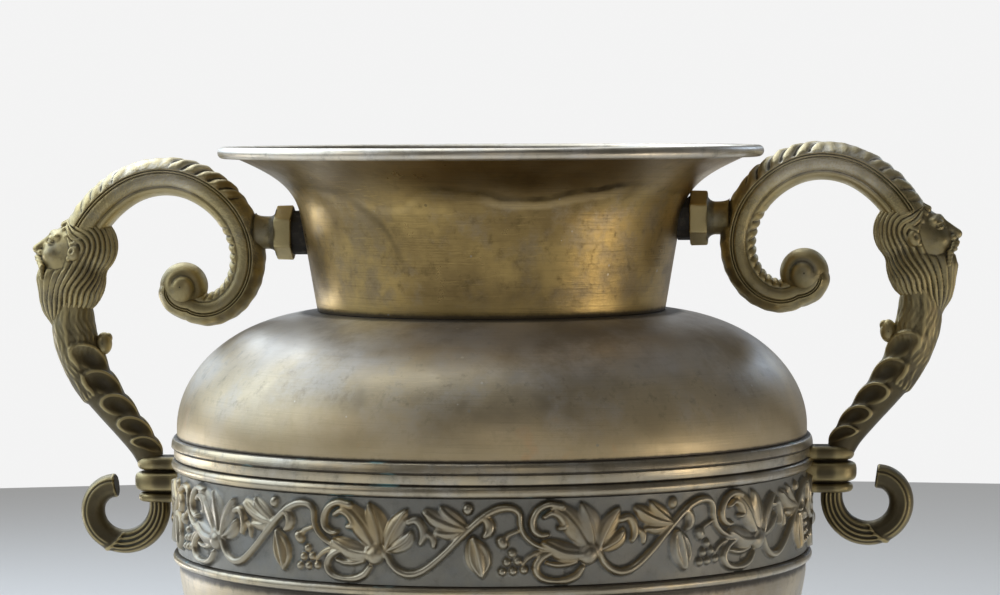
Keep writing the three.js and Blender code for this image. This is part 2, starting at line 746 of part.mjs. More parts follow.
// The arm tapers from the beard down to the clasp, with a bud on its inner side.
function makeArm() {
  const ends = [
    fromNeck(ARM_TOP),
    fromNeck(ARM_BEND_TOP),
    fromBody(ARM_BEND_FOOT),
    fromBody(ARM_FOOT),
  ];
  const curve = new THREE.CubicBezierCurve(...ends.map((p) => new THREE.Vector2(p.x, p.z)));
  const armAt = (t) => {
    const at = curve.getPoint(t);
    return { x: at.x, z: at.y };
  };
  const sizeAt = (t) => ({
    depth: blend(ARM_TOP_DEPTH, ARM_FOOT_DEPTH, t ** ARM_TAPER),
    width: blend(ARM_TOP_WIDTH, ARM_FOOT_WIDTH, t),
  });
  const arm = bentBar(roundOutline(10), armAt, sizeAt, ARM_STEPS);
  const root = armAt(BUD_AT);
  const budAt = { x: root.x - ARM_TOP_DEPTH / 2 - BUD_SUNK, z: root.z };
  const bud = egg(budAt, 2 * BUD_RADIUS, 2 * BUD_RADIUS, BUD_HEIGHT, 0, 8);
  const leafAt = { x: root.x + ARM_TOP_DEPTH / 2 - BUD_SUNK, z: root.z };
  const leaf = egg(leafAt, BUD_RADIUS, 2 * BUD_RADIUS, BUD_HEIGHT, 0, 8);
  return arm.add(bud).add(leaf);
}

// A level slab from inside the body outwards, with a round end, drawn in by an inset all round.
function claspSlab(bottom, top, inset, rounding) {
  const root = BODY_RADIUS - CLASP_REACH / 2;
  const half = CLASP_WIDTH / 2 - inset - rounding;
  const end = BODY_RADIUS + CLASP_REACH - CLASP_WIDTH / 2;
  const plan = new THREE.Shape();
  plan.moveTo(root, -half);
  plan.lineTo(end, -half);
  plan.absarc(end, 0, half, -Math.PI / 2, Math.PI / 2);
  plan.lineTo(root, half);
  const slab = new THREE.ExtrudeGeometry(plan, {
    depth: top - bottom - 2 * rounding,
    bevelEnabled: rounding > 0,
    bevelThickness: rounding,
    bevelSize: rounding,
    bevelSegments: 2,
    curveSegments: 3,
  });
  slab.translate(0, 0, friezeTop + bottom + rounding);
  return solidOf(slab);
}

// Three rounded ridges round a slimmer core.
function makeClasp() {
  const bottom = CLASP_RIDGES[CLASP_RIDGES.length - 1].bottom + RIDGE_ROUNDING;
  const core = claspSlab(bottom, CLASP_RIDGES[0].top - RIDGE_ROUNDING, GROOVE_DEPTH, 0);
  return CLASP_RIDGES.reduce(
    (clasp, ridge) =>
      clasp.add(claspSlab(ridge.bottom, ridge.top, -ridge.swell, RIDGE_ROUNDING)),
    core,
  );
}

// The small lower volute hooks round its eye and ends in a rounded tip.
function makeVolute() {
  const eye = fromBody(VOLUTE_EYE);
  const voluteAt = (t) => {
    const angle = blend(VOLUTE_START, VOLUTE_END, t) * DEGREE;
    const radius = VOLUTE_RADIUS - VOLUTE_WIND_IN * Math.max(t, 0) ** VOLUTE_HOOK;
    return { x: eye.x + Math.cos(angle) * radius, z: eye.z + Math.sin(angle) * radius };
  };
  const sizeAt = () => ({ depth: VOLUTE_DEPTH, width: VOLUTE_WIDTH });
  const bar = bentBar(reededOutline(VOLUTE_PROFILE), voluteAt, sizeAt, VOLUTE_STEPS);
  const tip = egg(voluteAt(1), VOLUTE_DEPTH, VOLUTE_WIDTH, VOLUTE_DEPTH, 0, 10);
  return bar.add(tip);
}

// The whole casting at the right of the body, before it is lifted and drilled.
const casting = makeScroll()
  .add(makeStub())
  .add(makeMask())
  .add(makeArm())
  .add(makeClasp())
  .add(makeVolute());

const tappedRadius = SCREW_RADIUS + SCREW_PLAY;

// A handle with its packing, screws and washers, made at the right.
function handleSet(side, lift) {
  const neckScrewLevel = stubLevel + lift;
  const beltScrewLevel = claspScrewLevel + lift;
  const neckHole = crossBar(tappedRadius, 0, flangeFace + SCREW_BITE, neckScrewLevel);
  const beltHole = crossBar(tappedRadius, 0, shellRadius + SCREW_BITE, beltScrewLevel);
  const handle = casting
    .translate([0, 0, lift])
    .subtract(beltCore())
    .subtract(neckHole)
    .subtract(beltHole);

  // The packing fills the wedge between the flange and the sloping neck.
  const saddleRadius = FLANGE_FLATS / 2 - SADDLE_INSET;
  const saddle = crossBar(saddleRadius, 0, flangeFace - GAP, neckScrewLevel, WASHER_SIDES)
    .subtract(neckCore(GAP))
    .subtract(neckHole);

  // Inside the neck the washer is cut to the cone, and the screw's head sits on it.
  const neckInside = neckRadiusAt(neckScrewLevel) - SPUN_WALL - GAP;
  const neckWasherFace = neckRadiusAt(neckScrewLevel - WASHER_RADIUS)
    - SPUN_WALL - GAP - WASHER_THICKNESS;
  const neckWasher = crossBar(WASHER_RADIUS, neckWasherFace, neckInside + WASHER_THICKNESS,
    neckScrewLevel, WASHER_SIDES)
    .intersect(neckCore(-SPUN_WALL - GAP))
    .subtract(neckHole);

  const friezeInside = friezeBore - GAP;
  const friezeWasherFace = friezeInside - WASHER_THICKNESS;
  const ground = uprightBar(friezeInside, lowerBeltTop, upperBeltTop, SIDES);
  const friezeWasher = crossBar(WASHER_RADIUS, friezeWasherFace, BODY_RADIUS,
    beltScrewLevel, WASHER_SIDES)
    .intersect(ground)
    .subtract(beltHole);

  const screw = (seat, end, level) =>
    crossBar(SCREW_HEAD_RADIUS, seat - SCREW_HEAD_HEIGHT, seat, level)
      .add(crossBar(SCREW_RADIUS, seat - SCREW_HEAD_HEIGHT / 2, end, level));
  const reach = SCREW_BITE - SCREW_TIP_PLAY;
  const neckScrew = screw(neckWasherFace - GAP, flangeFace + reach, neckScrewLevel);
  const claspScrew = screw(friezeWasherFace - GAP, shellRadius + reach, beltScrewLevel);

  const group = new THREE.Group();
  group.add(
    piece(side + "_handle", handle, castBrass),
    piece(side + "_neck_saddle", saddle, darkPacking),
    piece(side + "_neck_washer", neckWasher, screwSteel),
    piece(side + "_neck_screw", neckScrew, screwSteel),
    piece(side + "_clasp_washer", friezeWasher, screwSteel),
    piece(side + "_clasp_screw", claspScrew, screwSteel),
  );
  return group;
}

const rightSide = handleSet("right", RIGHT_HANDLE_LIFT);
const leftSide = handleSet("left", LEFT_HANDLE_LIFT);
leftSide.rotation.z = Math.PI;

const urn = new THREE.Group();
urn.add(
  makeRimBead(),
  makeNeck(),
  makeShoulder(),
  makeUpperBelt(),
  makeFrieze(),
  makeLowerBelt(),
  makeBowl(),
  makeKnop(),
  makeFoot(),
  makeFootRing(),
  makeTieRod(),
  makeRodWasher("upper_rod_washer", upperWasherBottom),
  makeRodNut("upper_rod_nut", upperNutBottom),
  makeRodWasher("lower_rod_washer", lowerWasherTop - ROD_WASHER_THICKNESS),
  makeRodNut("lower_rod_nut", lowerNutTop - ROD_NUT_HEIGHT),
  rightSide,
  leftSide,
);

export default urn;
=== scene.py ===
# %% [markdown]
# A two-handled brass urn
#
# The urn is a stack of spun shells and cast rings with two cast handles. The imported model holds
# every piece at its real size. This lesson gives those pieces the fine surface that they have on
# the real urn: smooth spun shells, a vine in relief, carved handles, and old polished brass.
#
# Pieces are sized in millimetres until a mesh is made from them. Camera, lamps and finishes work
# in metres, as Blender does.

# %% The frame
import math

import bmesh
import bpy
import numpy as np
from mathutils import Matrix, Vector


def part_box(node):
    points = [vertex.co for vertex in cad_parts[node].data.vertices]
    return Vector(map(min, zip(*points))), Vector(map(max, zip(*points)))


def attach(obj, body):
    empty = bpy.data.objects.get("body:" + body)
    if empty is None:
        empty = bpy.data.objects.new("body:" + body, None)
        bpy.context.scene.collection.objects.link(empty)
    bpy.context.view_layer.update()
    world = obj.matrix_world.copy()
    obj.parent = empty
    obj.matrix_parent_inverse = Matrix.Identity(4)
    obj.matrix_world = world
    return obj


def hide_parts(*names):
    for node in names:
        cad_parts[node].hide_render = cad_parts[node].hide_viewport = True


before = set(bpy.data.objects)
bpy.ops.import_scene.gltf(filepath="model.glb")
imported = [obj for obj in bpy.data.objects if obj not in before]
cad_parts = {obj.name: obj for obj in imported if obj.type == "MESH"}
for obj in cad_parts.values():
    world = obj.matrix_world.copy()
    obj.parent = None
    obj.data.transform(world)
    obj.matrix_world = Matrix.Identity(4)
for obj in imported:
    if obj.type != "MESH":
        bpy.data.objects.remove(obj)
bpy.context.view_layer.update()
MM = 0.001
scene = bpy.context.scene


def span(node):
    """Lowest and highest corner of a node of the frame, in millimetres."""
    low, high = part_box(node)
    return np.array(low) / MM, np.array(high) / MM


# %% [markdown]
# Camera
#
# The picture was taken with a long lens from a little above the rim and six degrees to the right
# of the middle. A long lens keeps the mouth's ellipse thin and the handles nearly side on. Place
# and angles were found by laying the frame's outlines over the picture until rim, belts and
# handles met theirs.

# %% Camera
CAMERA_PLACE = (0.1826, -1.7374, 0.4947)
CAMERA_YAW = 5.86
CAMERA_PITCH = -2.97
CAMERA_ROLL = -0.27
CAMERA_LENS = 126

camera_data = bpy.data.cameras.new("camera")
camera_data.lens = CAMERA_LENS
camera_data.sensor_width = 36
camera_data.clip_end = 100
camera = bpy.data.objects.new("camera", camera_data)
scene.collection.objects.link(camera)
camera.location = CAMERA_PLACE
camera.rotation_mode = "ZXY"
camera.rotation_euler = (
    math.radians(90 + CAMERA_PITCH),
    0,
    math.radians(CAMERA_YAW),
)
camera.rotation_mode = "QUATERNION"
turn = camera.rotation_euler.to_quaternion()
roll = math.radians(CAMERA_ROLL) / 2
camera.rotation_quaternion = turn @ type(turn)((math.cos(roll), 0, 0, math.sin(roll)))
scene.camera = camera
scene.view_settings.view_transform = "Standard"
print("camera", CAMERA_PLACE, "lens", CAMERA_LENS)

# %% [markdown]
# Meshes from rows of points
#
# Nearly every piece here is a grid of points: a profile turned about the axis, or an outline
# carried along a path. Blender's own Spin or Screw would need a wire for each profile, while a
# grid is a few lines of numbers. One helper makes the quads of such a grid, and one makes the
# object and turns all faces outwards if its volume comes out negative.

# %% Grids of points
def grid_faces(rows, columns, close_rows=False):
    """Quads between neighbouring rows and columns of a grid of points. The columns go round."""
    last_row = rows if close_rows else rows - 1
    row, column = np.meshgrid(np.arange(last_row), np.arange(columns), indexing="ij")
    next_row = (row + 1) % rows
    next_column = (column + 1) % columns
    corners = [
        row * columns + column,
        next_row * columns + column,
        next_row * columns + next_column,
        row * columns + next_column,
    ]
    return np.stack([c.ravel() for c in corners], axis=1)


def end_caps(rows, columns):
    """Faces that close the first and the last row of such a grid."""
    return [range(columns)[::-1], range((rows - 1) * columns, rows * columns)]


def make_object(name, points, quads, caps=(), sharp=45):
    """An object from points in millimetres, quads and end caps, smooth except at sharp edges."""
    points = np.asarray(points, float)
    a, b, c, d = (points[quads[:, i]] for i in range(4))
    volume = np.sum(np.cross(a, b) * c) + np.sum(np.cross(a, c) * d)
    faces = quads.tolist() + [list(cap) for cap in caps]
    if volume < 0:
        faces = [face[::-1] for face in faces]
    mesh = bpy.data.meshes.new(name)
    mesh.from_pydata((points * MM).tolist(), [], faces)
    mesh.update()
    mesh.shade_smooth()
    mesh.set_sharp_from_angle(angle=math.radians(sharp))
    made = bpy.data.objects.new(name, mesh)
    scene.collection.objects.link(made)
    return made


def set_values(obj, name, values):
    """Stores one number for each point of the mesh."""
    mesh = obj.data
    attribute = mesh.attributes.get(name) or mesh.attributes.new(name, "FLOAT", "POINT")
    attribute.data.foreach_set("value", np.asarray(values, np.float32))


def join(name, parts):
    """Several objects as one mesh."""
    bpy.ops.object.select_all(action="DESELECT")
    for part in parts:
        part.select_set(True)
    bpy.context.view_layer.objects.active = parts[0]
    bpy.ops.object.join()
    parts[0].name = name
    parts[0].data.name = name
    return parts[0]


# %% Lines and curves
def smooth_line(knots, count):
    """A smooth line through knots of any dimension, as count points."""
    knots = np.asarray(knots, float)
    padded = np.vstack([2 * knots[0] - knots[1], knots, 2 * knots[-1] - knots[-2]])
    where = np.linspace(0, len(knots) - 1, count)
    index = np.minimum(where.astype(int), len(knots) - 2)
    t = (where - index)[:, None]
    p0, p1, p2, p3 = (padded[index + i] for i in range(4))
    return 0.5 * (
        2 * p1
        + (p2 - p0) * t
        + (2 * p0 - 5 * p1 + 4 * p2 - p3) * t ** 2
        + (3 * p1 - p0 - 3 * p2 + p3) * t ** 3
    )


def curve(start, end, pulls, count):
    """A cubic curve whose two pulls are shares of its width and height."""
    start = np.array(start, float)
    end = np.array(end, float)
    first, second = (start + (end - start) * np.array(pull) for pull in pulls)
    t = np.linspace(0, 1, count)[:, None]
    return (
        start * (1 - t) ** 3
        + 3 * first * t * (1 - t) ** 2
        + 3 * second * t ** 2 * (1 - t)
        + end * t ** 3
    )


def travel(path):
    """How far along a path each of its points lies."""
    return np.cumsum(np.linalg.norm(np.diff(path, axis=0, prepend=path[:1]), axis=1))


def smoothstep(low, high, x):
    """0 under low, 1 over high, and smooth between."""
    t = np.clip((x - low) / (high - low), 0, 1)
    return t * t * (3 - 2 * t)


# %% Recesses
def read_points(mesh, field):
    """The places or the normals of a mesh's points, one row for each."""
    values = np.zeros(len(mesh.vertices) * 3)
    mesh.vertices.foreach_get(field, values)
    return values.reshape(-1, 3)


def mark_recesses(obj, passes, depth):
    """Marks how far each point lies under its smoothed neighbourhood: 0 proud, 1 deep."""
    mesh = obj.data
    count = len(mesh.vertices)
    places = read_points(mesh, "co")
    normals = read_points(mesh, "normal")
    edges = np.zeros(len(mesh.edges) * 2, np.int64)
    mesh.edges.foreach_get("vertices", edges)
    a, b = edges.reshape(-1, 2).T
    share = np.maximum(np.bincount(a, minlength=count) + np.bincount(b, minlength=count), 1)
    smooth = places.copy()
    for _ in range(passes):
        total = np.zeros_like(smooth)
        for axis in range(3):
            total[:, axis] += np.bincount(a, smooth[b, axis], count)
            total[:, axis] += np.bincount(b, smooth[a, axis], count)
        smooth = 0.5 * smooth + 0.5 * total / share[:, None]
    sunk = np.sum((smooth - places) * normals, axis=1) / (depth * MM)
    set_values(obj, "recess", np.clip(0.5 + 0.5 * sunk, 0, 1))


# %% [markdown]
# Old brass
#
# Brass that was polished long ago is never one colour. Hands and cloths keep the high places
# golden, the air turns the rest brown and grey, and grooves collect dark wax and a little
# verdigris. So each finish starts from three metal colours that noise spreads in patches. A
# number stored on the mesh, the recess, darkens grooves and brightens crests. Spun shells also
# carry fine turning lines, which follow the profile through a second stored number, along.

# %% Node helpers
def node(tree, kind, inputs=None, **settings):
    """A new node with its settings, and its inputs as values or as links."""
    made = tree.nodes.new(kind)
    for key, value in settings.items():
        setattr(made, key, value)
    for key, value in (inputs or {}).items():
        socket = made.inputs[key]
        if isinstance(value, bpy.types.NodeSocket):
            tree.links.new(value, socket)
        else:
            socket.default_value = value
    return made


def math_node(tree, operation, *values):
    """The result of one sum, product or comparison."""
    made = node(tree, "ShaderNodeMath", dict(enumerate(values)), operation=operation)
    return made.outputs[0]


def mix(tree, factor, a, b):
    """Colour a turning into colour b."""
    inputs = {0: factor, 6: a, 7: b}
    return node(tree, "ShaderNodeMix", inputs, data_type="RGBA").outputs[2]


def fade(tree, value, low, high, start=0.0, end=1.0):
    """start where value is under low, end where it is over high, and smooth between."""
    inputs = {"Value": value, "From Min": low, "From Max": high, "To Min": start, "To Max": end}
    made = node(tree, "ShaderNodeMapRange", inputs, interpolation_type="SMOOTHSTEP")
    return made.outputs["Result"]


def noise(tree, place, scale, detail=3.0, roughness=0.55):
    """Cloudy values round 0.5, with scale clouds in a metre."""
    inputs = {"Vector": place, "Scale": scale, "Detail": detail, "Roughness": roughness}
    return node(tree, "ShaderNodeTexNoise", inputs).outputs["Fac"]


def stored(tree, name):
    """A number that the mesh carries for each of its points."""
    return node(tree, "ShaderNodeAttribute", attribute_name=name).outputs["Fac"]


def colour(red, green, blue):
    return (red, green, blue, 1.0)


def parts_of(tree, place):
    """The x, y and z of a place."""
    return node(tree, "ShaderNodeSeparateXYZ", {"Vector": place}).outputs


def start_finish(name):
    """A new material with its node tree, its shader and the place on the object."""
    material = bpy.data.materials.new(name)
    material.use_nodes = True
    tree = material.node_tree
    shader = tree.nodes["Principled BSDF"]
    return material, tree, shader, node(tree, "ShaderNodeTexCoord").outputs["Object"]


def finish_with(tree, shader, base, rough, height, strength, distance):
    """Links colour, roughness and the bump of a height to the shader."""
    inputs = {"Height": height, "Strength": strength, "Distance": distance}
    bump = node(tree, "ShaderNodeBump", inputs)
    tree.links.new(base, shader.inputs["Base Color"])
    tree.links.new(rough, shader.inputs["Roughness"])
    tree.links.new(bump.outputs["Normal"], shader.inputs["Normal"])


# %% Angle round the urn and marks of a cloth
def azimuth_of(tree, place):
    """Angle about the urn's axis as a share of a turn: 0.5 faces the viewer, 0.75 is at the right."""
    x, y, _ = parts_of(tree, place)
    angle = math_node(tree, "ARCTAN2", x, math_node(tree, "MULTIPLY", y, -1.0))
    return math_node(tree, "MULTIPLY_ADD", angle, 1 / (2 * math.pi), 0.5)


def brushed(tree, place, length, pitch, slant):
    """Fine marks of a cloth or tool that went round the piece, some millimetres long."""
    x, y, _ = parts_of(tree, place)
    tilt = math_node(tree, "MULTIPLY", x, slant)
    along = math_node(tree, "ADD", stored(tree, "along"), tilt)
    lined = node(tree, "ShaderNodeCombineXYZ", {
        "X": math_node(tree, "MULTIPLY", x, 1 / length),
        "Y": math_node(tree, "MULTIPLY", y, 1 / length),
        "Z": math_node(tree, "MULTIPLY", along, 1 / pitch),
    }).outputs[0]
    return noise(tree, lined, 1.0, 4, 0.7)


# %% Finish of aged brass
def aged_brass(name, gold, brown, grey, patch_scale, gloss, turned=0.0, carved=False, grain=0.3,
               verdigris=0.0, wax=(0.03, 0.021, 0.011), coat=0.2, specks=0.0, dust=0.0,
               stain=None):
    """Old brass from three metal colours. gloss is the lowest and highest roughness."""
    material, tree, shader, place = start_finish(name)
    patches = noise(tree, place, patch_scale, 5, 0.6)
    clouds = noise(tree, place, patch_scale * 3.7, 6, 0.65)
    mottle = noise(tree, place, 160, 5, 0.7)
    base = mix(tree, fade(tree, patches, 0.41, 0.6), colour(*brown), colour(*gold))
    base = mix(tree, fade(tree, clouds, 0.46, 0.68, 0, 0.75), base, colour(*grey))
    dark = [c * 0.5 for c in brown]
    base = mix(tree, fade(tree, mottle, 0.5, 0.74, 0, 0.6), base, colour(*dark))
    rough = fade(tree, math_node(tree, "MULTIPLY_ADD", mottle, 0.35, clouds), 0.45, 0.9, *gloss)
    metallic = 1.0

    if stain:
        base, rough = stain(tree, place, base, rough)

    if specks:
        dots = node(tree, "ShaderNodeTexVoronoi", {"Vector": place, "Scale": 190.0})
        chance = node(tree, "ShaderNodeSeparateColor", {"Color": dots.outputs["Color"]}).outputs
        size = fade(tree, chance[1], 0, 1, 0.05, 0.16)
        speck = math_node(tree, "LESS_THAN", dots.outputs["Distance"], size)
        lucky = math_node(tree, "LESS_THAN", chance[0], specks)
        speck = math_node(tree, "MULTIPLY", speck, lucky)
        pale = mix(tree, chance[2], colour(*dark), colour(0.8, 0.76, 0.65))
        base = mix(tree, math_node(tree, "MULTIPLY", speck, 0.7), base, pale)

    height = math_node(tree, "MULTIPLY", noise(tree, place, 1300, 2), grain)
    height = math_node(tree, "MULTIPLY_ADD", mottle, 0.8, height)
    if turned:
        lines = brushed(tree, place, 0.045, 0.0007, 0.02)
        strokes = brushed(tree, place, 0.012, 0.0011, -0.09)
        base = mix(tree, fade(tree, lines, 0.48, 0.78, 0, 0.45 * turned), base, colour(*dark))
        light = [min(1, c * 1.5) for c in gold]
        base = mix(tree, fade(tree, strokes, 0.56, 0.8, 0, 0.5 * turned), base, colour(*light))
        height = math_node(tree, "MULTIPLY_ADD", lines, 1.8 * turned, height)
        height = math_node(tree, "MULTIPLY_ADD", strokes, 0.8 * turned, height)
    if turned or carved:
        recess = stored(tree, "recess")
        proud = fade(tree, recess, 0.46, 0.2, 0, 0.7)
        base = mix(tree, proud, base, colour(*[min(1, c * 1.3) for c in gold]))
        sunk = math_node(tree, "MULTIPLY_ADD", mottle, 0.25, recess)
        sunk = fade(tree, sunk, 0.66, 0.98, 0, 0.9)
        if carved:
            hollow = math_node(tree, "MULTIPLY", stored(tree, "hollow"), 0.72)
            sunk = math_node(tree, "MAXIMUM", sunk, hollow)
        base = mix(tree, sunk, base, colour(*wax))
        rough = math_node(tree, "MULTIPLY_ADD", sunk, 0.25, rough)
        metallic = fade(tree, sunk, 0.2, 1.0, 1.0 - dust, 0.45)
        if verdigris:
            green = fade(tree, noise(tree, place, 36, 4), 0.6, 0.7)
            green = math_node(tree, "MULTIPLY", green, fade(tree, recess, 0.5, 0.75, 0, verdigris))
            base = mix(tree, green, base, colour(0.20, 0.36, 0.36))

    finish_with(tree, shader, base, rough, height, 0.35, 0.0002)
    shader.inputs["Coat Weight"].default_value = coat
    shader.inputs["Coat Roughness"].default_value = 0.38
    shader.inputs["Coat IOR"].default_value = 1.5
    if metallic == 1.0:
        shader.inputs["Metallic"].default_value = 1.0
    else:
        tree.links.new(metallic, shader.inputs["Metallic"])
    return material


# %% [markdown]
# Stains and painted light of the neck, the shoulder, the vine and the castings
#
# Something once stood in the mouth and ran over. It left a tide line round the flare: a thin dark
# edge with brown metal above it, and one streak runs down from it at the left. Both are drawn as
# a height over the angle about the axis, on a curve with a few knots. A painted picture would do
# too, but the shell would have to be unwrapped, and a picture turns coarse from close by. The
# brown above the tide is darker on one side as painted shade, and a gold band round the neck's
# foot is a painted warm reflection. The shoulder is rubbed golden where it bulges most and has
# gone grey near the neck, where a cloth doesn't reach. The vine is golden where hands touch it,
# while the ground between its leaves stays grey. The castings are painted paler at their tops and
# darker low down, as painted light and shade from above.

# %% Tide line and streak, with painted shade and a painted reflection
TIDE_FLOOR, TIDE_TOP = 0.425, 0.47
NECK_TIDE = [(-180, 458), (-110, 456), (-62, 460), (-40, 459), (-23, 453), (-16, 458), (-10, 461),
             (-3, 459.5), (4, 458.5), (10, 456), (18, 455), (26, 457.8), (35, 459.5), (44, 462),
             (54, 462.5), (62, 459), (95, 457), (135, 461), (180, 458)]
NECK_STREAK = [(-180, 462), (-50, 462), (-42, 458.9), (-34, 451), (-27, 441.5), (-22, 429),
               (-20, 425.5), (180, 425.5)]
# Shares of a turn, and levels in metres
SHADED_SIDE = (0.41, 0.48)
STRONG_TIDE = (0.512, 0.625)
STREAK_SIDE = (0.377, 0.44)
PAINTED_REFLECTION_FOOT = (0.399, 0.411)


def height_over_angle(tree, turn, knots):
    """A height in metres, looked up on a curve whose knots are degrees and millimetres."""
    made = node(tree, "ShaderNodeFloatCurve", {"Value": turn})
    shares = [((angle + 180) / 360, (level * MM - TIDE_FLOOR) / (TIDE_TOP - TIDE_FLOOR))
              for angle, level in knots]
    line = made.mapping.curves[0]
    line.points[0].location = shares[0]
    line.points[1].location = shares[-1]
    for share in shares[1:-1]:
        line.points.new(*share)
    made.mapping.update()
    return math_node(tree, "MULTIPLY_ADD", made.outputs[0], TIDE_TOP - TIDE_FLOOR, TIDE_FLOOR)


def between(tree, value, low, high, ease):
    """1 between low and high, 0 outside, with a soft edge."""
    rising = fade(tree, value, low - ease, low + ease)
    return math_node(tree, "MULTIPLY", rising, fade(tree, value, high - ease, high + ease, 1, 0))


def tide_line(tree, place, base, rough):
    """Smoky patches, brown metal above the tide that is darker on one side as painted shade, its
    dark edge, the streak under it, and a painted warm reflection round the neck's foot.
    """
    turn = azimuth_of(tree, place)
    level = parts_of(tree, place)[2]
    shaken = math_node(tree, "MULTIPLY_ADD", noise(tree, place, 60, 3), -0.004, 0.002)
    level = math_node(tree, "ADD", level, shaken)
    smoky = fade(tree, noise(tree, place, 24, 6, 0.7), 0.46, 0.66, 0, 0.6)
    base = mix(tree, smoky, base, colour(0.2, 0.145, 0.065))
    tide = math_node(tree, "SUBTRACT", level, height_over_angle(tree, turn, NECK_TIDE))
    patchy = noise(tree, place, 26, 3)
    above = fade(tree, tide, -0.0006, 0.0012, 0, 0.8)
    above = math_node(tree, "MULTIPLY", above, fade(tree, patchy, 0.3, 0.62, 1, 0.5))
    # The brown above the tide is painted darker on one side, as painted shade.
    shaded = mix(tree, fade(tree, turn, *SHADED_SIDE), colour(0.22, 0.16, 0.075),
                 colour(0.52, 0.36, 0.15))
    base = mix(tree, above, base, shaded)
    line = between(tree, tide, -0.0010, 0.0016, 0.0007)
    line = math_node(tree, "MULTIPLY", line, fade(tree, patchy, 0.42, 0.6, 0.95, 0.3))
    strong = between(tree, turn, *STRONG_TIDE, 0.012)
    line = math_node(tree, "MULTIPLY", line, fade(tree, strong, 0, 1, 0.22, 1))
    base = mix(tree, line, base, colour(0.05, 0.034, 0.014))
    bright = between(tree, tide, -0.0052, -0.0018, 0.0012)
    bright = math_node(tree, "MULTIPLY", bright, fade(tree, strong, 0, 1, 0.1, 0.4))
    base = mix(tree, bright, base, colour(0.75, 0.57, 0.29))

    streak = math_node(tree, "SUBTRACT", level, height_over_angle(tree, turn, NECK_STREAK))
    streak = between(tree, streak, -0.0026, 0.0026, 0.0028)
    streak = math_node(tree, "MULTIPLY", streak, between(tree, turn, *STREAK_SIDE, 0.008))
    base = mix(tree, math_node(tree, "MULTIPLY", streak, 0.55), base, colour(0.12, 0.085, 0.04))

    # A gold band round the neck's foot is a painted warm reflection.
    foot = fade(tree, level, *PAINTED_REFLECTION_FOOT, 0.6, 0)
    base = mix(tree, foot, base, colour(0.72, 0.52, 0.2))
    return base, rough


# %% Stains of the shoulder and the vine, and painted light and shade on the castings
SHOULDER_RUBBED = 0.353
# Levels in metres of the painted shade low on the castings and the painted light at their tops
PAINTED_SHADE_LOW = (0.37, 0.425)
PAINTED_LIGHT_HIGH = (0.468, 0.486)


def rubbed_low(tree, place, base, rough):
    """Golden where hands rub the shoulder, with traces of copper, and dusty above."""
    level = parts_of(tree, place)[2]
    patchy = math_node(tree, "MULTIPLY", noise(tree, place, 17, 4, 0.6), 0.05)
    level = math_node(tree, "ADD", level, patchy)
    low = fade(tree, level, SHOULDER_RUBBED + 0.010, SHOULDER_RUBBED + 0.042, 0.75, 0)
    low = math_node(tree, "MULTIPLY", low, fade(tree, level, 0.30, 0.335, 0.1, 1))
    base = mix(tree, low, base, colour(0.64, 0.49, 0.25))
    high = fade(tree, level, SHOULDER_RUBBED + 0.036, SHOULDER_RUBBED + 0.066, 0, 0.72)
    high = math_node(tree, "MAXIMUM", high, fade(tree, level, 0.2, 0.335, 0.22, 0.1))
    dusty = mix(tree, fade(tree, noise(tree, place, 28, 6, 0.7), 0.42, 0.64),
                colour(0.60, 0.575, 0.55), colour(0.40, 0.365, 0.325))
    base = mix(tree, high, base, dusty)
    copper = fade(tree, noise(tree, place, 55, 3), 0.62, 0.72, 0, 0.4)
    base = mix(tree, math_node(tree, "MULTIPLY", copper, low), base, colour(0.7, 0.38, 0.18))
    return base, rough


def grey_ground(tree, place, base, rough):
    """A matt grey ground, and leaves that hands have rubbed golden in places."""
    raised = stored(tree, "raised")
    flat = fade(tree, raised, 0.0, 0.5, 0.5, 0)
    base = mix(tree, flat, base, colour(0.36, 0.355, 0.33))
    touched = fade(tree, noise(tree, place, 20, 3), 0.4, 0.6, 0.15, 0.75)
    golden = math_node(tree, "MULTIPLY", touched, fade(tree, raised, 0.25, 0.8))
    base = mix(tree, golden, base, colour(0.48, 0.35, 0.165))
    matt = math_node(tree, "ADD", rough, 0.17)
    return base, math_node(tree, "MULTIPLY_ADD", raised, -0.24, matt)


def painted_light_from_above(tree, place, base, rough):
    """Painted light and shade from above: castings are painted paler at their tops and darker low
    down.
    """
    level = parts_of(tree, place)[2]
    patchy = math_node(tree, "MULTIPLY_ADD", noise(tree, place, 60, 5, 0.65), 0.03, level)
    base = mix(tree, fade(tree, patchy, *PAINTED_SHADE_LOW, 0.92, 0), base, colour(0.10, 0.08, 0.046))
    base = mix(tree, fade(tree, patchy, *PAINTED_LIGHT_HIGH, 0, 0.75), base, colour(0.8, 0.74, 0.62))
    return base, rough


# %% The finishes of this urn
neck_brass = aged_brass(
    "neck_brass", (0.46, 0.32, 0.115), (0.25, 0.17, 0.065), (0.40, 0.32, 0.21), 13,
    (0.27, 0.42), turned=0.9, specks=0.07, stain=tide_line)
rim_brass = aged_brass(
    "rim_brass", (0.78, 0.69, 0.55), (0.60, 0.54, 0.43), (0.72, 0.68, 0.62), 16,
    (0.3, 0.42), turned=0.3, coat=0.35)
body_bronze = aged_brass(
    "body_bronze", (0.56, 0.45, 0.27), (0.33, 0.27, 0.18), (0.49, 0.455, 0.40), 10,
    (0.33, 0.54), turned=0.45, specks=0.1, coat=0.5, dust=0.18, stain=rubbed_low)
belt_bronze = aged_brass(
    "belt_bronze", (0.66, 0.54, 0.34), (0.44, 0.385, 0.285), (0.55, 0.52, 0.46), 12,
    (0.28, 0.44), turned=0.5, verdigris=0.9, coat=0.3)
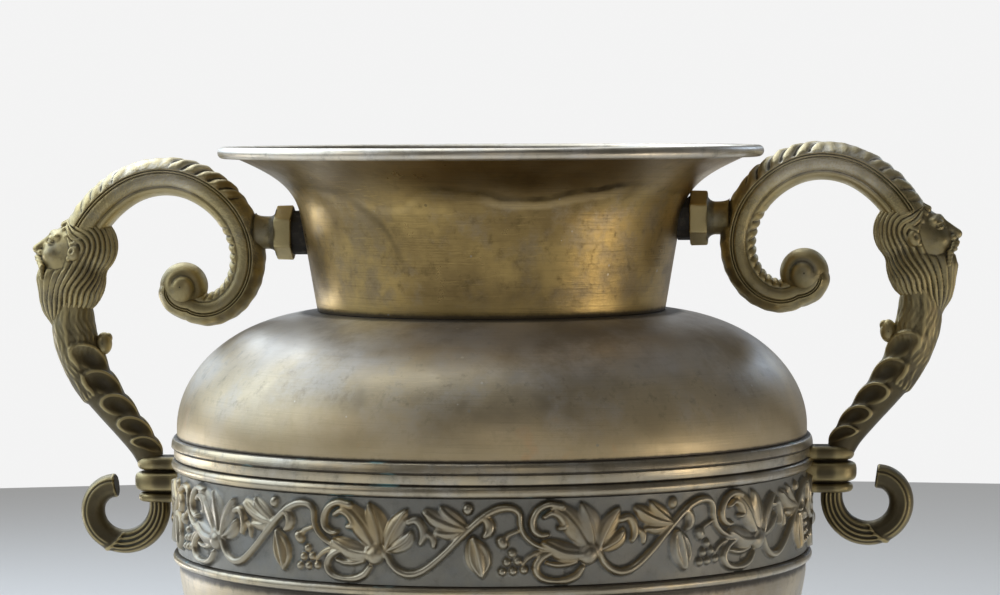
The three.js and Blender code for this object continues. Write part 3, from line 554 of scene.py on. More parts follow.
relief_bronze = aged_brass(
    "relief_bronze", (0.38, 0.345, 0.265), (0.29, 0.27, 0.225), (0.32, 0.33, 0.32), 16,
    (0.36, 0.52), carved=True, grain=0.8, verdigris=0.3, wax=(0.07, 0.06, 0.042), coat=0.1,
    stain=grey_ground)
cast_brass = aged_brass(
    "cast_brass", (0.455, 0.37, 0.185), (0.29, 0.24, 0.128), (0.375, 0.34, 0.25), 19,
    (0.4, 0.58), carved=True, grain=1.6, verdigris=0.1, wax=(0.045, 0.035, 0.018),
    coat=0.15, stain=painted_light_from_above)
screw_steel = aged_brass(
    "old_steel", (0.75, 0.75, 0.72), (0.55, 0.53, 0.50), (0.64, 0.61, 0.56), 60, (0.35, 0.55))
finishes = [neck_brass, rim_brass, body_bronze, belt_bronze, relief_bronze, cast_brass, screw_steel]
print("finishes:", [finish.name for finish in finishes])

# %% [markdown]
# The spun shells
#
# Neck, shoulder, bowl and foot are discs of sheet brass, pressed over a turning form on a lathe.
# In the frame they have 24 or 32 sides. Here the same profiles are turned in fine steps. The
# profile is a closed loop: the outer line from bottom to top and the same line, moved in by the
# wall, back down. A hand-spun shell is never quite true, so a waver of at most 0.3 mm bends its
# reflections.

# %% Turning a profile
ROUND_STEPS = 224
TURNED_SHARP = 35
PLAIN_RECESS, CREASE_RECESS = 0.42, 0.97


def inward(line, wall):
    """The same line moved to its left by the wall's thickness."""
    along = np.gradient(line, axis=0)
    along /= np.linalg.norm(along, axis=1)[:, None]
    return line + np.stack([-along[:, 1], along[:, 0]], axis=1) * wall


def turn_profile(name, outline, material, node_name, waver=0.0, creases=()):
    """A closed outline of radius and height, turned about the axis. A crease is a height and how
    far its wax reaches."""
    outline = np.asarray(outline, float)
    steps = np.linalg.norm(np.diff(outline, axis=0, prepend=outline[-1:]), axis=1)
    angles = np.linspace(0, 2 * np.pi, ROUND_STEPS, endpoint=False)[:, None]
    radius = np.broadcast_to(outline[:, 0], (ROUND_STEPS, len(outline))).copy()
    level = np.broadcast_to(outline[:, 1], radius.shape)
    radius -= waver * (1 + np.sin(3 * angles + level / 31) * np.cos(5 * angles - level / 17)) / 2
    points = np.stack([radius * np.cos(angles), radius * np.sin(angles), level], axis=2)
    quads = grid_faces(ROUND_STEPS, len(outline), close_rows=True)
    made = make_object(name, points.reshape(-1, 3), quads, sharp=TURNED_SHARP)
    set_values(made, "along", np.tile(np.cumsum(steps) * MM, ROUND_STEPS))
    sunk = np.full(len(outline), PLAIN_RECESS)
    for crease_level, reach in creases:
        near = np.exp(-((outline[:, 1] - crease_level) / reach) ** 2)
        sunk = np.maximum(sunk, PLAIN_RECESS + (CREASE_RECESS - PLAIN_RECESS) * near)
    set_values(made, "recess", np.tile(sunk, ROUND_STEPS))
    made.data.materials.append(material)
    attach(made, "root")
    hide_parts(node_name)
    print(name, len(quads) * 2, "triangles")


# %% Sizes of the shells
SPUN_WALL = 1.6
BOWL_WALL = 2.0
BAND_WALL = 3.0
GAP = 0.3
LINE_STEPS = 36

rim_low, rim_high = span("rim_bead")
neck_low, _ = span("neck")
shoulder_low, shoulder_high = span("shoulder")
belt_low, belt_high = span("upper_belt")
frieze_low, frieze_high = span("frieze_band")
lower_low, lower_high = span("lower_belt")
bowl_low, bowl_high = span("bowl")
knop_low, knop_high = span("stem_knop")
foot_low, foot_high = span("foot")
_, ring_high = span("foot_ring")

MOUTH_RADIUS = rim_high[0]
RIM_BEAD = (rim_high[2] - rim_low[2]) / 2
RIM_LEVEL = (rim_high[2] + rim_low[2]) / 2
LIP_RADIUS = MOUTH_RADIUS - 2 * RIM_BEAD
LIP_LEVEL = RIM_LEVEL - 1.3
NECK_FOOT = 86.9
CONE_TOP = (95.3, 445.8)
SHELL_RADIUS = shoulder_high[0]
CREST_RADIUS = belt_high[0]
COLLAR_HEIGHT = 8.0
SPIGOT = 5.6
STEM_PAD = 22.0
BORE = 4.4
radii = {"mouth": MOUTH_RADIUS, "shell": SHELL_RADIUS, "crest": CREST_RADIUS}
print("radii:", {name: round(float(radius), 1) for name, radius in radii.items()})

# %% Neck and rim
cone = curve((NECK_FOOT, neck_low[2]), CONE_TOP, [(0.33, 0.33), (0.66, 0.66)], 14)
flare = curve(CONE_TOP, (LIP_RADIUS, LIP_LEVEL), [(0.09, 0.54), (0.48, 0.73)], LINE_STEPS)
neck_line = np.vstack([cone[:-1], flare])
neck_outline = np.vstack([neck_line, inward(neck_line, SPUN_WALL)[::-1]])
turn_profile("neck_shell", neck_outline, neck_brass, "neck", waver=0.25,
             creases=[(neck_low[2], 1.2), (LIP_LEVEL, 0.9)])

bead_turn = np.linspace(0, 2 * np.pi, 20, endpoint=False)
bead_centre = MOUTH_RADIUS - RIM_BEAD
rim_outline = np.stack([
    bead_centre + RIM_BEAD * np.cos(bead_turn),
    RIM_LEVEL + RIM_BEAD * np.sin(bead_turn),
], axis=1)
turn_profile("rim_wire", rim_outline, rim_brass, "rim_bead")

# %% Shoulder
shoulder_top = shoulder_high[2] - COLLAR_HEIGHT
lip = curve((SHELL_RADIUS, shoulder_low[2]), (SHELL_RADIUS, shoulder_low[2] + SPIGOT - GAP),
            [(0, 0.33), (0, 0.66)], 4)
dome = curve(lip[-1], (NECK_FOOT + SPUN_WALL, shoulder_top), [(0.01, 0.46), (0.37, 0.93)], 60)
dome_line = np.vstack([lip[:-1], dome])
collar = NECK_FOOT - SPUN_WALL - GAP
inside = inward(dome_line, SPUN_WALL)[::-1]
inside[0] = (collar - SPUN_WALL, inside[0][1])
shoulder_outline = np.vstack([
    dome_line,
    [(collar, shoulder_top), (collar, shoulder_high[2]), (collar - SPUN_WALL, shoulder_high[2])],
    inside,
])
turn_profile("shoulder_shell", shoulder_outline, body_bronze, "shoulder",
             waver=0.3, creases=[(shoulder_top, 1.0), (shoulder_low[2], 0.8)])

# %% [markdown]
# The moulded belts
#
# Two rings clasp the frieze. The upper one has a sloping lip that faces up, a flat band sunk
# below it, and a round bead. The lower one is a single bead. Their profiles are strings of half
# rounds and flats, and the creases between them are where verdigris and wax collect. Bevels on a
# plain ring would round its edges, but wouldn't give these mouldings.

# %% Belts
SPIGOT_WALL = 2.0
BEAD_HEIGHT, BEAD_BULGE = 6.0, 2.8
FLAT_HEIGHT, FLAT_SUNK = 5.5, 1.3
LIP_HEIGHT, LIP_SLOPE = 5.0, 2.5
LOWER_BEAD_HEIGHT, LOWER_BEAD_BULGE = 5.0, 2.3


def half_round(crest, bottom, top, bulge, count=13):
    """The outer half of a bead, from bottom to top."""
    angle = np.linspace(-np.pi / 2, np.pi / 2, count)
    middle = (bottom + top) / 2
    return np.stack([
        crest - bulge + np.cos(angle) * bulge,
        middle + np.sin(angle) * (top - bottom) / 2,
    ], axis=1)


belt_bottom = frieze_high[2]
bead_top = belt_bottom + BEAD_HEIGHT
flat_top = bead_top + FLAT_HEIGHT
belt_top = flat_top + LIP_HEIGHT
ground_radius = frieze_high[0]
shoulder_bore = SHELL_RADIUS - SPUN_WALL - GAP
frieze_bore = ground_radius - BAND_WALL - GAP
inner = frieze_bore - SPIGOT_WALL

flat_face = CREST_RADIUS - FLAT_SUNK
bend = np.linspace(0, np.pi / 2, 12)
ogee = np.stack([CREST_RADIUS - LIP_SLOPE + LIP_SLOPE * np.cos(bend) ** 0.8,
                 flat_top + GAP + (LIP_HEIGHT - GAP) * np.sin(bend)], axis=1)
upper_outline = np.vstack([
    [(inner, belt_low[2]), (frieze_bore, belt_low[2]), (frieze_bore, belt_bottom + GAP)],
    half_round(CREST_RADIUS, belt_bottom + GAP, bead_top, BEAD_BULGE),
    [(flat_face - 0.5, bead_top + 0.2), (flat_face - 0.2, bead_top + 0.6)],
    [(flat_face, bead_top + 0.9), (flat_face, flat_top - 0.8)],
    [(flat_face - 0.3, flat_top - 0.5), (flat_face, flat_top - 0.1)],
    ogee,
    [(shoulder_bore, belt_top), (shoulder_bore, belt_high[2]), (inner, belt_high[2])],
])
turn_profile("upper_belt_ring", upper_outline, belt_bronze, "upper_belt",
             creases=[(belt_bottom + 0.4, 0.7), (bead_top, 0.7), (flat_top, 0.7), (belt_top, 0.6)])

lower_top = frieze_low[2] - GAP
bowl_top = lower_top - LOWER_BEAD_HEIGHT
bowl_bore = bowl_high[0] - BOWL_WALL - GAP
lower_outline = np.vstack([
    [(inner, lower_low[2]), (bowl_bore, lower_low[2]), (bowl_bore, bowl_top)],
    half_round(lower_high[0], bowl_top, lower_top, LOWER_BEAD_BULGE),
    [(frieze_bore, lower_top), (frieze_bore, lower_high[2]), (inner, lower_high[2])],
])
turn_profile("lower_belt_ring", lower_outline, belt_bronze, "lower_belt",
             creases=[(bowl_top + 0.2, 0.7), (lower_top - 0.2, 0.7)])

# %% [markdown]
# Bowl, knop, foot and base ring
#
# The picture doesn't show them. They follow what such urns have: a bowl that narrows to a turned
# knop, a trumpet foot and a flat ring to stand on. All are turned as the shells above are.

# %% Bowl and stem
bowl_edge = bowl_high[0]
bowl_side = curve((STEM_PAD, bowl_low[2]), (bowl_edge, bowl_high[2] - SPIGOT + GAP),
                  [(0.6, 0), (0.93, 0.5)], 56)
bowl_line = np.vstack([bowl_side, [(bowl_edge, bowl_high[2])]])
bowl_inside = inward(bowl_line, BOWL_WALL)[::-1]
bowl_outline = np.vstack([[(BORE, bowl_low[2])], bowl_line, bowl_inside,
                          [(BORE, bowl_low[2] + BOWL_WALL)]])
turn_profile("bowl_shell", bowl_outline, body_bronze, "bowl", waver=0.3,
             creases=[(bowl_high[2], 0.8), (bowl_low[2], 1.0)])

# %% Knop
KNOP_EDGE = 3
KNOP_NECK = 19.0
KNOP_BEAD = 8
knop_radius = knop_high[0]
knop_middle = (knop_low[2] + knop_high[2]) / 2
bead_low, bead_high = knop_middle - KNOP_BEAD, knop_middle + KNOP_BEAD
lower_waist = curve((STEM_PAD, knop_low[2] + KNOP_EDGE), (KNOP_NECK, bead_low),
                    [(2.0, 0.35), (1.8, 0.8)], 12)
upper_waist = curve((KNOP_NECK, bead_high), (STEM_PAD, knop_high[2] - KNOP_EDGE),
                    [(-0.8, 0.2), (-1.0, 0.65)], 12)
knop_outline = np.vstack([
    [(BORE, knop_low[2]), (STEM_PAD, knop_low[2])],
    lower_waist,
    half_round(knop_radius, bead_low, bead_high, knop_radius - KNOP_NECK, 17)[1:-1],
    upper_waist,
    [(STEM_PAD, knop_high[2]), (BORE, knop_high[2])],
])
turn_profile("stem_knop_turned", knop_outline, body_bronze, "stem_knop",
             creases=[(bead_low, 1.0), (bead_high, 1.0), (knop_low[2], 0.8), (knop_high[2], 0.8)])

# %% Foot and base ring
FOOT_LIP = 3
RING_BORE = 74.0
RING_LEDGE = 3
RING_BULGE = 2.0
foot_edge = foot_high[0]
foot_side = curve((foot_edge, foot_low[2] + FOOT_LIP), (STEM_PAD, foot_high[2]),
                  [(0.78, 0.2), (1.1, 0.55)], 56)
foot_line = np.vstack([[(foot_edge, foot_low[2])], foot_side])
foot_inside = inward(foot_line, BOWL_WALL)[::-1]
foot_inside[0] = (STEM_PAD - BOWL_WALL, foot_high[2] - BOWL_WALL)
foot_outline = np.vstack([foot_line, [(BORE, foot_high[2]), (BORE, foot_high[2] - BOWL_WALL)],
                          foot_inside])
turn_profile("foot_shell", foot_outline, body_bronze, "foot", waver=0.3,
             creases=[(foot_low[2] + FOOT_LIP, 1.0), (foot_high[2], 0.8)])

ring_radius, _, ring_top = ring_high
ledge = ring_top - RING_LEDGE
ring_outline = np.vstack([
    [(RING_BORE, 0), (ring_radius, 0)],
    half_round(ring_radius, RING_LEDGE, ledge, RING_BULGE, 15),
    curve((ring_radius - RING_BULGE, ledge), (foot_edge + 2 * GAP, ring_top),
          [(0.3, 0.6), (0.6, 1)], 6)[1:],
    [(foot_edge + GAP, ledge - GAP), (RING_BORE, ledge - GAP)],
])
turn_profile("base_ring", ring_outline, body_bronze, "foot_ring",
             creases=[(RING_LEDGE, 0.7), (ledge, 0.7)])

# %% [markdown]
# Frieze
#
# The band between the belts is a casting with a vine scroll in low relief. The same stretch
# of vine comes ten times round the urn: a flower with two curled leaves, a ribbed trefoil, a pod,
# a bunch of berries and the stem that joins them. Such a relief is carved as strokes. Each stroke
# runs along a path of its own, and where two meet the higher one wins, which leaves a crease
# as a chisel would. The strokes are written as distance along the band from the flower's knob,
# height above the floor and half width, each with the height of its crest in front.

# %% Strokes of the vine
REPEATS = 10
STRETCH = 98.9
FIRST_KNOB = -13.9
SWELL = 0.25
STEM_BROADER, LEAF_BROADER = 1.08, 1.2
TALL = 1.4

ROUND_STROKES = [
    (2.5, [(-12.7, 316.4, 1.6), (-18.6, 317.3, 1.5), (-23.4, 315.0, 1.5), (-26.0, 310.4, 1.6),
           (-25.5, 305.8, 1.5), (-22.3, 303.4, 1.3), (-19.3, 303.6, 0.9)]),
    (2.4, [(-20.6, 311.6, 0.9), (-17.4, 313.4, 1.3), (-13.9, 312.3, 1.7), (-11.6, 309.6, 1.7),
           (-11.2, 306.9, 1.3), (-13.9, 306.3, 0.9)]),
    (2.2, [(16.0, 309.4, 1.5), (19.5, 310.2, 1.8), (22.1, 307.4, 1.9), (22.9, 303.2, 1.8),
           (21.6, 299.5, 1.0)]),
    (1.6, [(24.8, 304.3, 1.0), (27.4, 301.7, 1.5), (27.6, 298.5, 1.0)]),
    (2.3, [(-17.6, 295.4, 1.3), (-22.4, 292.6, 1.6), (-24.6, 288.6, 1.6), (-23.4, 285.0, 1.5),
           (-20.2, 283.0, 1.3), (-15.4, 282.2, 1.1)]),
    (2.0, [(-15.9, 282.2, 1.0), (-10.1, 282.6, 1.5), (-5.6, 284.6, 1.6), (-2.9, 288.0, 1.2)]),
    (1.7, [(-19.6, 290.6, 0.7), (-15.2, 289.6, 1.1), (-10.0, 289.9, 1.2), (-5.8, 290.8, 0.8)]),
    (3.2, [(-0.3, 293.4, 4.0), (0.4, 294.2, 4.0)]),
    (2.3, [(-3.8, 292.0, 0.9), (-3.4, 296.0, 1.2), (-0.5, 298.2, 1.3), (3.0, 297.2, 1.3),
           (5.6, 293.6, 1.3), (7.6, 289.9, 1.4), (11.0, 286.8, 1.5), (15.6, 285.3, 1.7),
           (20.9, 286.3, 1.7), (26.3, 289.7, 1.6), (32.6, 295.2, 1.5), (38.9, 301.6, 1.5),
           (43.8, 306.3, 1.5), (49.3, 311.2, 1.6), (53.4, 313.9, 1.7), (58.3, 315.8, 1.7),
           (63.6, 315.8, 1.5), (66.8, 313.3, 1.3), (67.3, 308.0, 1.1), (69.2, 303.3, 1.0),
           (73.1, 299.7, 1.0), (78.0, 297.4, 1.0), (82.6, 296.0, 1.0)]),
    (2.0, [(43.4, 315.2, 2.2), (43.6, 315.8, 2.2)]),
    (2.3, [(49.4, 311.6, 1.0), (51.9, 310.6, 1.9), (53.4, 307.8, 2.4), (52.8, 304.9, 2.0),
           (50.8, 303.0, 0.9)]),
    (1.5, [(66.9, 305.6, 0.7), (64.4, 304.6, 0.8), (61.6, 303.4, 1.0), (60.0, 301.6, 1.5)]),
    (2.4, [(58.6, 300.8, 2.2), (59.4, 299.6, 2.3)]),
    (1.3, [(68.4, 290.4, 0.6), (71.0, 293.2, 1.0), (75.6, 295.4, 1.1), (80.4, 295.9, 0.6)]),
]
BERRY_HEIGHT, BERRY_RADIUS = 1.8, 1.75
BERRIES = [(63.4, 295.2), (61.0, 291.1), (65.9, 291.6), (58.9, 286.8), (63.8, 287.0), (68.8, 287.6)]
LEAF_STROKES = [
    (2.2, [(0.3, 296.7, 1.4), (-2.6, 301.5, 3.6), (-6.2, 307.4, 5.2), (-11.0, 312.7, 3.8),
           (-15.4, 315.4, 2.0)]),
    (2.0, [(2.6, 297.3, 1.2), (2.0, 303.1, 4.2), (0.6, 308.6, 5.0), (-0.9, 313.0, 3.2),
           (-3.0, 317.0, 0.8)]),
    (2.4, [(5.6, 297.2, 1.0), (7.4, 302.0, 3.2), (10.2, 307.2, 3.7), (13.2, 311.9, 2.2),
           (15.0, 314.6, 0.5)]),
    (2.2, [(6.4, 296.0, 0.8), (11.0, 297.9, 2.6), (15.0, 300.6, 3.0), (17.0, 304.0, 1.2)]),
    (2.6, [(-2.5, 294.6, 1.2), (-7.1, 294.8, 3.4), (-12.3, 295.8, 4.0), (-17.0, 298.0, 3.1),
           (-20.8, 299.8, 1.2)]),
    (2.0, [(43.4, 306.6, 0.9), (37.9, 310.4, 3.0), (33.6, 313.8, 2.4), (31.4, 316.2, 0.9)]),
    (2.2, [(42.8, 306.2, 0.9), (35.4, 308.2, 2.9), (28.9, 311.0, 3.4), (24.4, 313.8, 1.7)]),
    (1.8, [(42.4, 305.4, 0.9), (35.3, 304.6, 2.9), (29.2, 304.8, 1.6)]),
    (2.0, [(44.6, 302.0, 0.6), (43.9, 296.4, 1.7), (45.0, 290.4, 1.7), (48.9, 284.6, 0.5)]),
    (2.0, [(46.8, 302.0, 0.6), (50.6, 297.2, 1.6), (52.2, 291.6, 1.6), (50.8, 285.8, 0.5)]),
    (2.8, [(45.6, 302.4, 0.7), (47.0, 297.2, 2.5), (48.5, 291.0, 2.7), (50.0, 284.2, 0.4)]),
]
# Places where the ground is sunk: distance, height, and reach in both directions
HOLLOWS = [(-21.2, 308.3, 3.4, 3.0), (-14.0, 286.2, 6.5, 2.2), (5.0, 292.6, 1.8, 1.8)]
print(len(ROUND_STROKES) + len(LEAF_STROKES) + len(BERRIES), "strokes in a stretch")

# %% [markdown]
# Carving one stretch
#
# The stretch is a field of heights on a fine grid. For every point of the grid the nearest point
# of a stroke is found, and its share of the stroke's half width gives the height: round for stems
# and berries, plump with a rib and a groove for leaves. The ground gets the grain of a casting.
# The field is then softened a little, as polishing does, and where it lies lower than its
# surroundings it is marked as deep.

# %% Height of one stroke
BAND_BOTTOM, BAND_TOP = frieze_low[2], frieze_high[2]
TURN = 360 / REPEATS
HALF_START = -90
STRETCH_START = (HALF_START - FIRST_KNOB) / TURN * STRETCH % STRETCH - STRETCH
BAND_COLUMNS = 196
BAND_ROWS = 80

band_s = np.linspace(STRETCH_START, STRETCH_START + STRETCH, BAND_COLUMNS + 1)
band_z = np.linspace(BAND_BOTTOM + 0.05, BAND_TOP - 0.05, BAND_ROWS + 1)
field_s, field_z = np.meshgrid(band_s, band_z, indexing="ij")


def stroke_height(height, knots, leaf):
    """Height of one stroke over the whole stretch."""
    line = smooth_line(knots, 14 * len(knots))
    # A stroke that leaves the stretch on one side comes back in on the other.
    middle = (line[:, 0].min() + line[:, 0].max()) / 2
    s = (field_s - middle + STRETCH / 2) % STRETCH - STRETCH / 2 + middle
    away = np.hypot(s[..., None] - line[:, 0], field_z[..., None] - line[:, 1])
    broader = LEAF_BROADER if leaf else STEM_BROADER
    share = away / (line[:, 2] * broader + SWELL)
    nearest = np.argmin(share, axis=-1)
    share = np.take_along_axis(share, nearest[..., None], axis=-1)[..., 0]
    gap = np.take_along_axis(away, nearest[..., None], axis=-1)[..., 0]
    if not leaf:
        return height * np.sqrt(np.clip(1 - share ** 2, 0, 1))
    # A leaf is plump, a little lower on its right side, and has a raised rib in a groove.
    ahead = np.gradient(line[:, :2], axis=0)
    aside = ((s - line[nearest, 0]) * ahead[nearest, 1]
             - (field_z - line[nearest, 1]) * ahead[nearest, 0])
    right = np.sign(aside) * share
    plump = height * np.clip(1 - np.abs(share) ** 2.3, 0, 1) ** 0.62
    plump = plump * (1 - 0.3 * smoothstep(-0.1, 0.5, right))
    groove = 0.7 * np.exp(-((gap - 0.75) / 0.5) ** 2) * (right > 0)
    rib = 0.25 * np.exp(-(gap / 0.45) ** 2)
    return plump + (rib - groove) * (1 - smoothstep(0.35, 0.8, share))


# %% All strokes together
relief = np.zeros_like(field_s)
for height, knots in ROUND_STROKES:
    relief = np.maximum(relief, stroke_height(height, knots, False))
for height, knots in LEAF_STROKES:
    relief = np.maximum(relief, stroke_height(height, knots, True))
for s, z in BERRIES:
    spot = [(s, z, BERRY_RADIUS), (s + 0.1, z, BERRY_RADIUS)]
    relief = np.maximum(relief, stroke_height(BERRY_HEIGHT, spot, False))
for s, z, reach_s, reach_z in HOLLOWS:
    away = np.hypot((field_s - s) / reach_s, (field_z - z) / reach_z)
    relief = relief - 0.5 * (1 - smoothstep(0.4, 1.1, away)) * (relief < 0.4)

grain = np.sin(field_s * 3.9 + 2 * np.sin(field_z * 2.3)) * np.sin(field_z * 4.3 + field_s * 0.7)
relief = TALL * relief + 0.09 * grain * (relief < 0.3)


def blurred(values, passes):
    """Each value mixed with its neighbours. The stretch joins itself at both ends."""
    for _ in range(passes):
        middle = values[:-1]
        middle = 0.5 * middle + 0.25 * (np.roll(middle, 1, 0) + np.roll(middle, -1, 0))
        values = np.vstack([middle, middle[:1]])
        inner = 0.5 * values[:, 1:-1] + 0.25 * (values[:, :-2] + values[:, 2:])
        values = np.hstack([values[:, :1], inner, values[:, -1:]])
    return values


raised = smoothstep(0.25, 1.6, relief)
relief = blurred(relief, 1)
near_edge = np.minimum(field_z - BAND_BOTTOM, BAND_TOP - field_z)
relief = relief * smoothstep(0, 1.2, near_edge)
deepness = 0.5 - 0.022 * relief + 0.38 * np.clip(blurred(relief, 6) - relief, -0.6, 1)
print("relief up to", round(float(relief.max()), 2), "mm")

# %% Bending the stretch onto the body
GROUND_SUNK = 0.15
radius = ground_radius - GROUND_SUNK + relief
inner_radius = ground_radius - BAND_WALL
loop_radius = np.hstack([
    np.full((BAND_COLUMNS + 1, 1), inner_radius), radius,
    np.full((BAND_COLUMNS + 1, 1), inner_radius),
])
loop_level = np.concatenate([[BAND_BOTTOM], band_z, [BAND_TOP]])
loop_deep = np.pad(deepness, ((0, 0), (1, 1)), constant_values=0.9)
band_turn = np.radians(HALF_START + np.linspace(0, TURN, BAND_COLUMNS + 1))[:, None]
stretch_points = np.stack([
    loop_radius * np.sin(band_turn),
    -loop_radius * np.cos(band_turn),
    np.broadcast_to(loop_level, loop_radius.shape),
], axis=2)
stretch = make_object("vine_stretch", stretch_points.reshape(-1, 3),
                      grid_faces(*loop_radius.shape), sharp=80)
set_values(stretch, "recess", loop_deep.ravel())
set_values(stretch, "raised", np.pad(raised, ((0, 0), (1, 1))).ravel())
print("one stretch has", len(stretch.data.polygons) * 2, "triangles")

# %% [markdown]
# Repeating the stretch
#
# One stretch is enough: a small node tree sets copies of it round the axis, joins their edges and
# gives them the finish. An Array modifier that turns about an empty would do it too, but the tree
# keeps its sizes as named inputs. The band is made as a front and a back half that meet under the
# clasps.

# %% Node tree that repeats a stretch
repeat_tree = bpy.data.node_groups.new("repeat_round_axis", "GeometryNodeTree")
repeat_tree.is_modifier = True
sockets = repeat_tree.interface
sockets.new_socket("Stretch", in_out="INPUT", socket_type="NodeSocketGeometry")
count_socket = sockets.new_socket("Copies", in_out="INPUT", socket_type="NodeSocketInt")
first_socket = sockets.new_socket("First turn", in_out="INPUT", socket_type="NodeSocketFloat")
turn_socket = sockets.new_socket("Turn of each", in_out="INPUT", socket_type="NodeSocketFloat")
finish_socket = sockets.new_socket("Finish", in_out="INPUT", socket_type="NodeSocketMaterial")
sockets.new_socket("Band", in_out="OUTPUT", socket_type="NodeSocketGeometry")

given = node(repeat_tree, "NodeGroupInput").outputs
starts = node(repeat_tree, "GeometryNodePoints", {"Count": given["Copies"]})
which = node(repeat_tree, "GeometryNodeInputIndex").outputs[0]
turn_by = math_node(repeat_tree, "MULTIPLY_ADD", which, given["Turn of each"],
                    given["First turn"])
turn_vector = node(repeat_tree, "ShaderNodeCombineXYZ", {"Z": turn_by})
copies = node(repeat_tree, "GeometryNodeInstanceOnPoints", {
    "Points": starts.outputs[0],
    "Instance": given["Stretch"],
    "Rotation": turn_vector.outputs[0],
})
real = node(repeat_tree, "GeometryNodeRealizeInstances", {0: copies.outputs[0]})
joined = node(repeat_tree, "GeometryNodeMergeByDistance", {
    "Geometry": real.outputs[0], "Distance": 0.00002})
painted = node(repeat_tree, "GeometryNodeSetMaterial", {
    "Geometry": joined.outputs[0], "Material": given["Finish"]})
node(repeat_tree, "NodeGroupOutput", {0: painted.outputs[0]})

# %% Front and back half of the band
for name, first in (("vine_band_front", 0.0), ("vine_band_back", math.pi)):
    half = stretch.copy()
    modifier = half.modifiers.new("repeat", "NODES")
    modifier.node_group = repeat_tree
    modifier[count_socket.identifier] = REPEATS // 2
    modifier[first_socket.identifier] = first
    modifier[turn_socket.identifier] = math.radians(TURN)
    modifier[finish_socket.identifier] = relief_bronze
    scene.collection.objects.link(half)
    shown = half.evaluated_get(bpy.context.evaluated_depsgraph_get())
    band_mesh = bpy.data.meshes.new_from_object(shown)
    bpy.data.objects.remove(half)
    edit = bmesh.new()
    edit.from_mesh(band_mesh)
    edges = [edge for edge in edit.edges if edge.is_boundary]
    bmesh.ops.holes_fill(edit, edges=edges, sides=0)
    edit.to_mesh(band_mesh)
    edit.free()
    band = bpy.data.objects.new(name, band_mesh)
    band_mesh.name = name
    scene.collection.objects.link(band)
    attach(band, "root")
    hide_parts("frieze_band")
    print(name, len(band_mesh.polygons) * 2, "triangles")
bpy.data.objects.remove(stretch)

# %% [markdown]
# Handles
#
# Each handle is one casting, screwed to the neck and to the frieze. From the neck a round stub
# leads to a C scroll with a reeded bar, whose lower end curls up like a snail. The scroll's
# upper end grows out of a bearded mask, and under the beard a leafy arm runs down to a clasp with
# three ridges and a small volute. All of it is made once at the right, halfway between the
# levels of the two handles.
#
# A bar is an outline carried along a path. The outline is half of the bar's section, from the
# back of the curve to its inner edge, and it is mirrored. On top of it comes a carved relief. A
# Blender curve with a bevel object carries an outline as well, but it has no place for a relief.

# %% Bars along a path
CARVED_SHARP = 60


def loop_of(half, count):
    """A closed outline from a half outline that starts and ends on the bar's middle plane."""
    line = smooth_line(half, count)
    mirrored = line[-2:0:-1] * [1, -1]
    return np.vstack([line, mirrored])


def tube(name, path, depth, width, outline, relief, inside_out=False, shaded=0):
    """An outline carried along a path in the handle's plane, with a carved relief. Sizes are
    whole, not half. shaded is the depth at which a hollow counts as full of old wax."""
    path = np.asarray(path, float)
    ahead = np.gradient(path, axis=0)
    ahead /= np.linalg.norm(ahead, axis=1)[:, None]
    out = np.stack([ahead[:, 1], -ahead[:, 0]], axis=1) * (-1 if inside_out else 1)
    travelled = travel(path)[:, None]
    n = outline[None, :, 0] * np.reshape(depth, (-1, 1)) / 2
    b = outline[None, :, 1] * np.reshape(width, (-1, 1)) / 2
    turn_n = np.roll(n, -1, axis=1) - np.roll(n, 1, axis=1)
    turn_b = np.roll(b, -1, axis=1) - np.roll(b, 1, axis=1)
    size = np.maximum(np.hypot(turn_n, turn_b), 1e-6)
    side = np.sign(np.sum(n * turn_b - b * turn_n))
    raised = relief(travelled, outline[None, :, 0], outline[None, :, 1])
    n = n + side * turn_b / size * raised
    b = b - side * turn_n / size * raised
    points = np.stack([
        path[:, None, 0] + out[:, None, 0] * n,
        b,
        path[:, None, 1] + out[:, None, 1] * n,
    ], axis=2)
    made = make_object(name, points.reshape(-1, 3), grid_faces(*n.shape), end_caps(*n.shape),
                       CARVED_SHARP)
    if shaded:
        set_values(made, "hollow", np.clip(-raised / shaded, 0, 1).ravel())
    return made


def rounded_end(travelled, length):
    """A share that falls from 1 to nearly 0 like a quarter circle over the last length."""
    left = travelled[-1] - travelled
    return np.sqrt(1 - np.clip(1 - left / length, 0, 0.995) ** 2)


def ripples(place, pitch):
    """Rounded crests with sharp grooves between: 0 in a groove, 1 on a crest."""
    return np.abs(np.sin(np.pi * place / pitch)) ** 0.8


# %% [markdown]
# Scroll
#
# The path winds in towards the eye, gently at first, and makes most of another turn inside the
# ball. The reeds on its sides are part of the outline. The back carries slanting lobes like a
# rope, and the inner edge is cut with small notches.

# %% Scroll path
SCROLL_EYE = (155.8, 413.2)
SCROLL_RADIUS = 57.8
SCROLL_START = 29
SCROLL_END = 246
SCROLL_TIP = 395
SCROLL_ROUND = 58
SCROLL_EASING = 40
SCROLL_PITCH = 100.8
SCROLL_END_ROUNDED = 7
BALL_RADIUS = 12.1


def scroll_radius(angle):
    """A circle at first, which eases into a spiral that winds in by its pitch in each turn."""
    past = np.maximum(angle - SCROLL_ROUND, 0)
    eased = np.where(past < SCROLL_EASING, past ** 2 / (2 * SCROLL_EASING), past - SCROLL_EASING / 2)
    return SCROLL_RADIUS - eased / 360 * SCROLL_PITCH


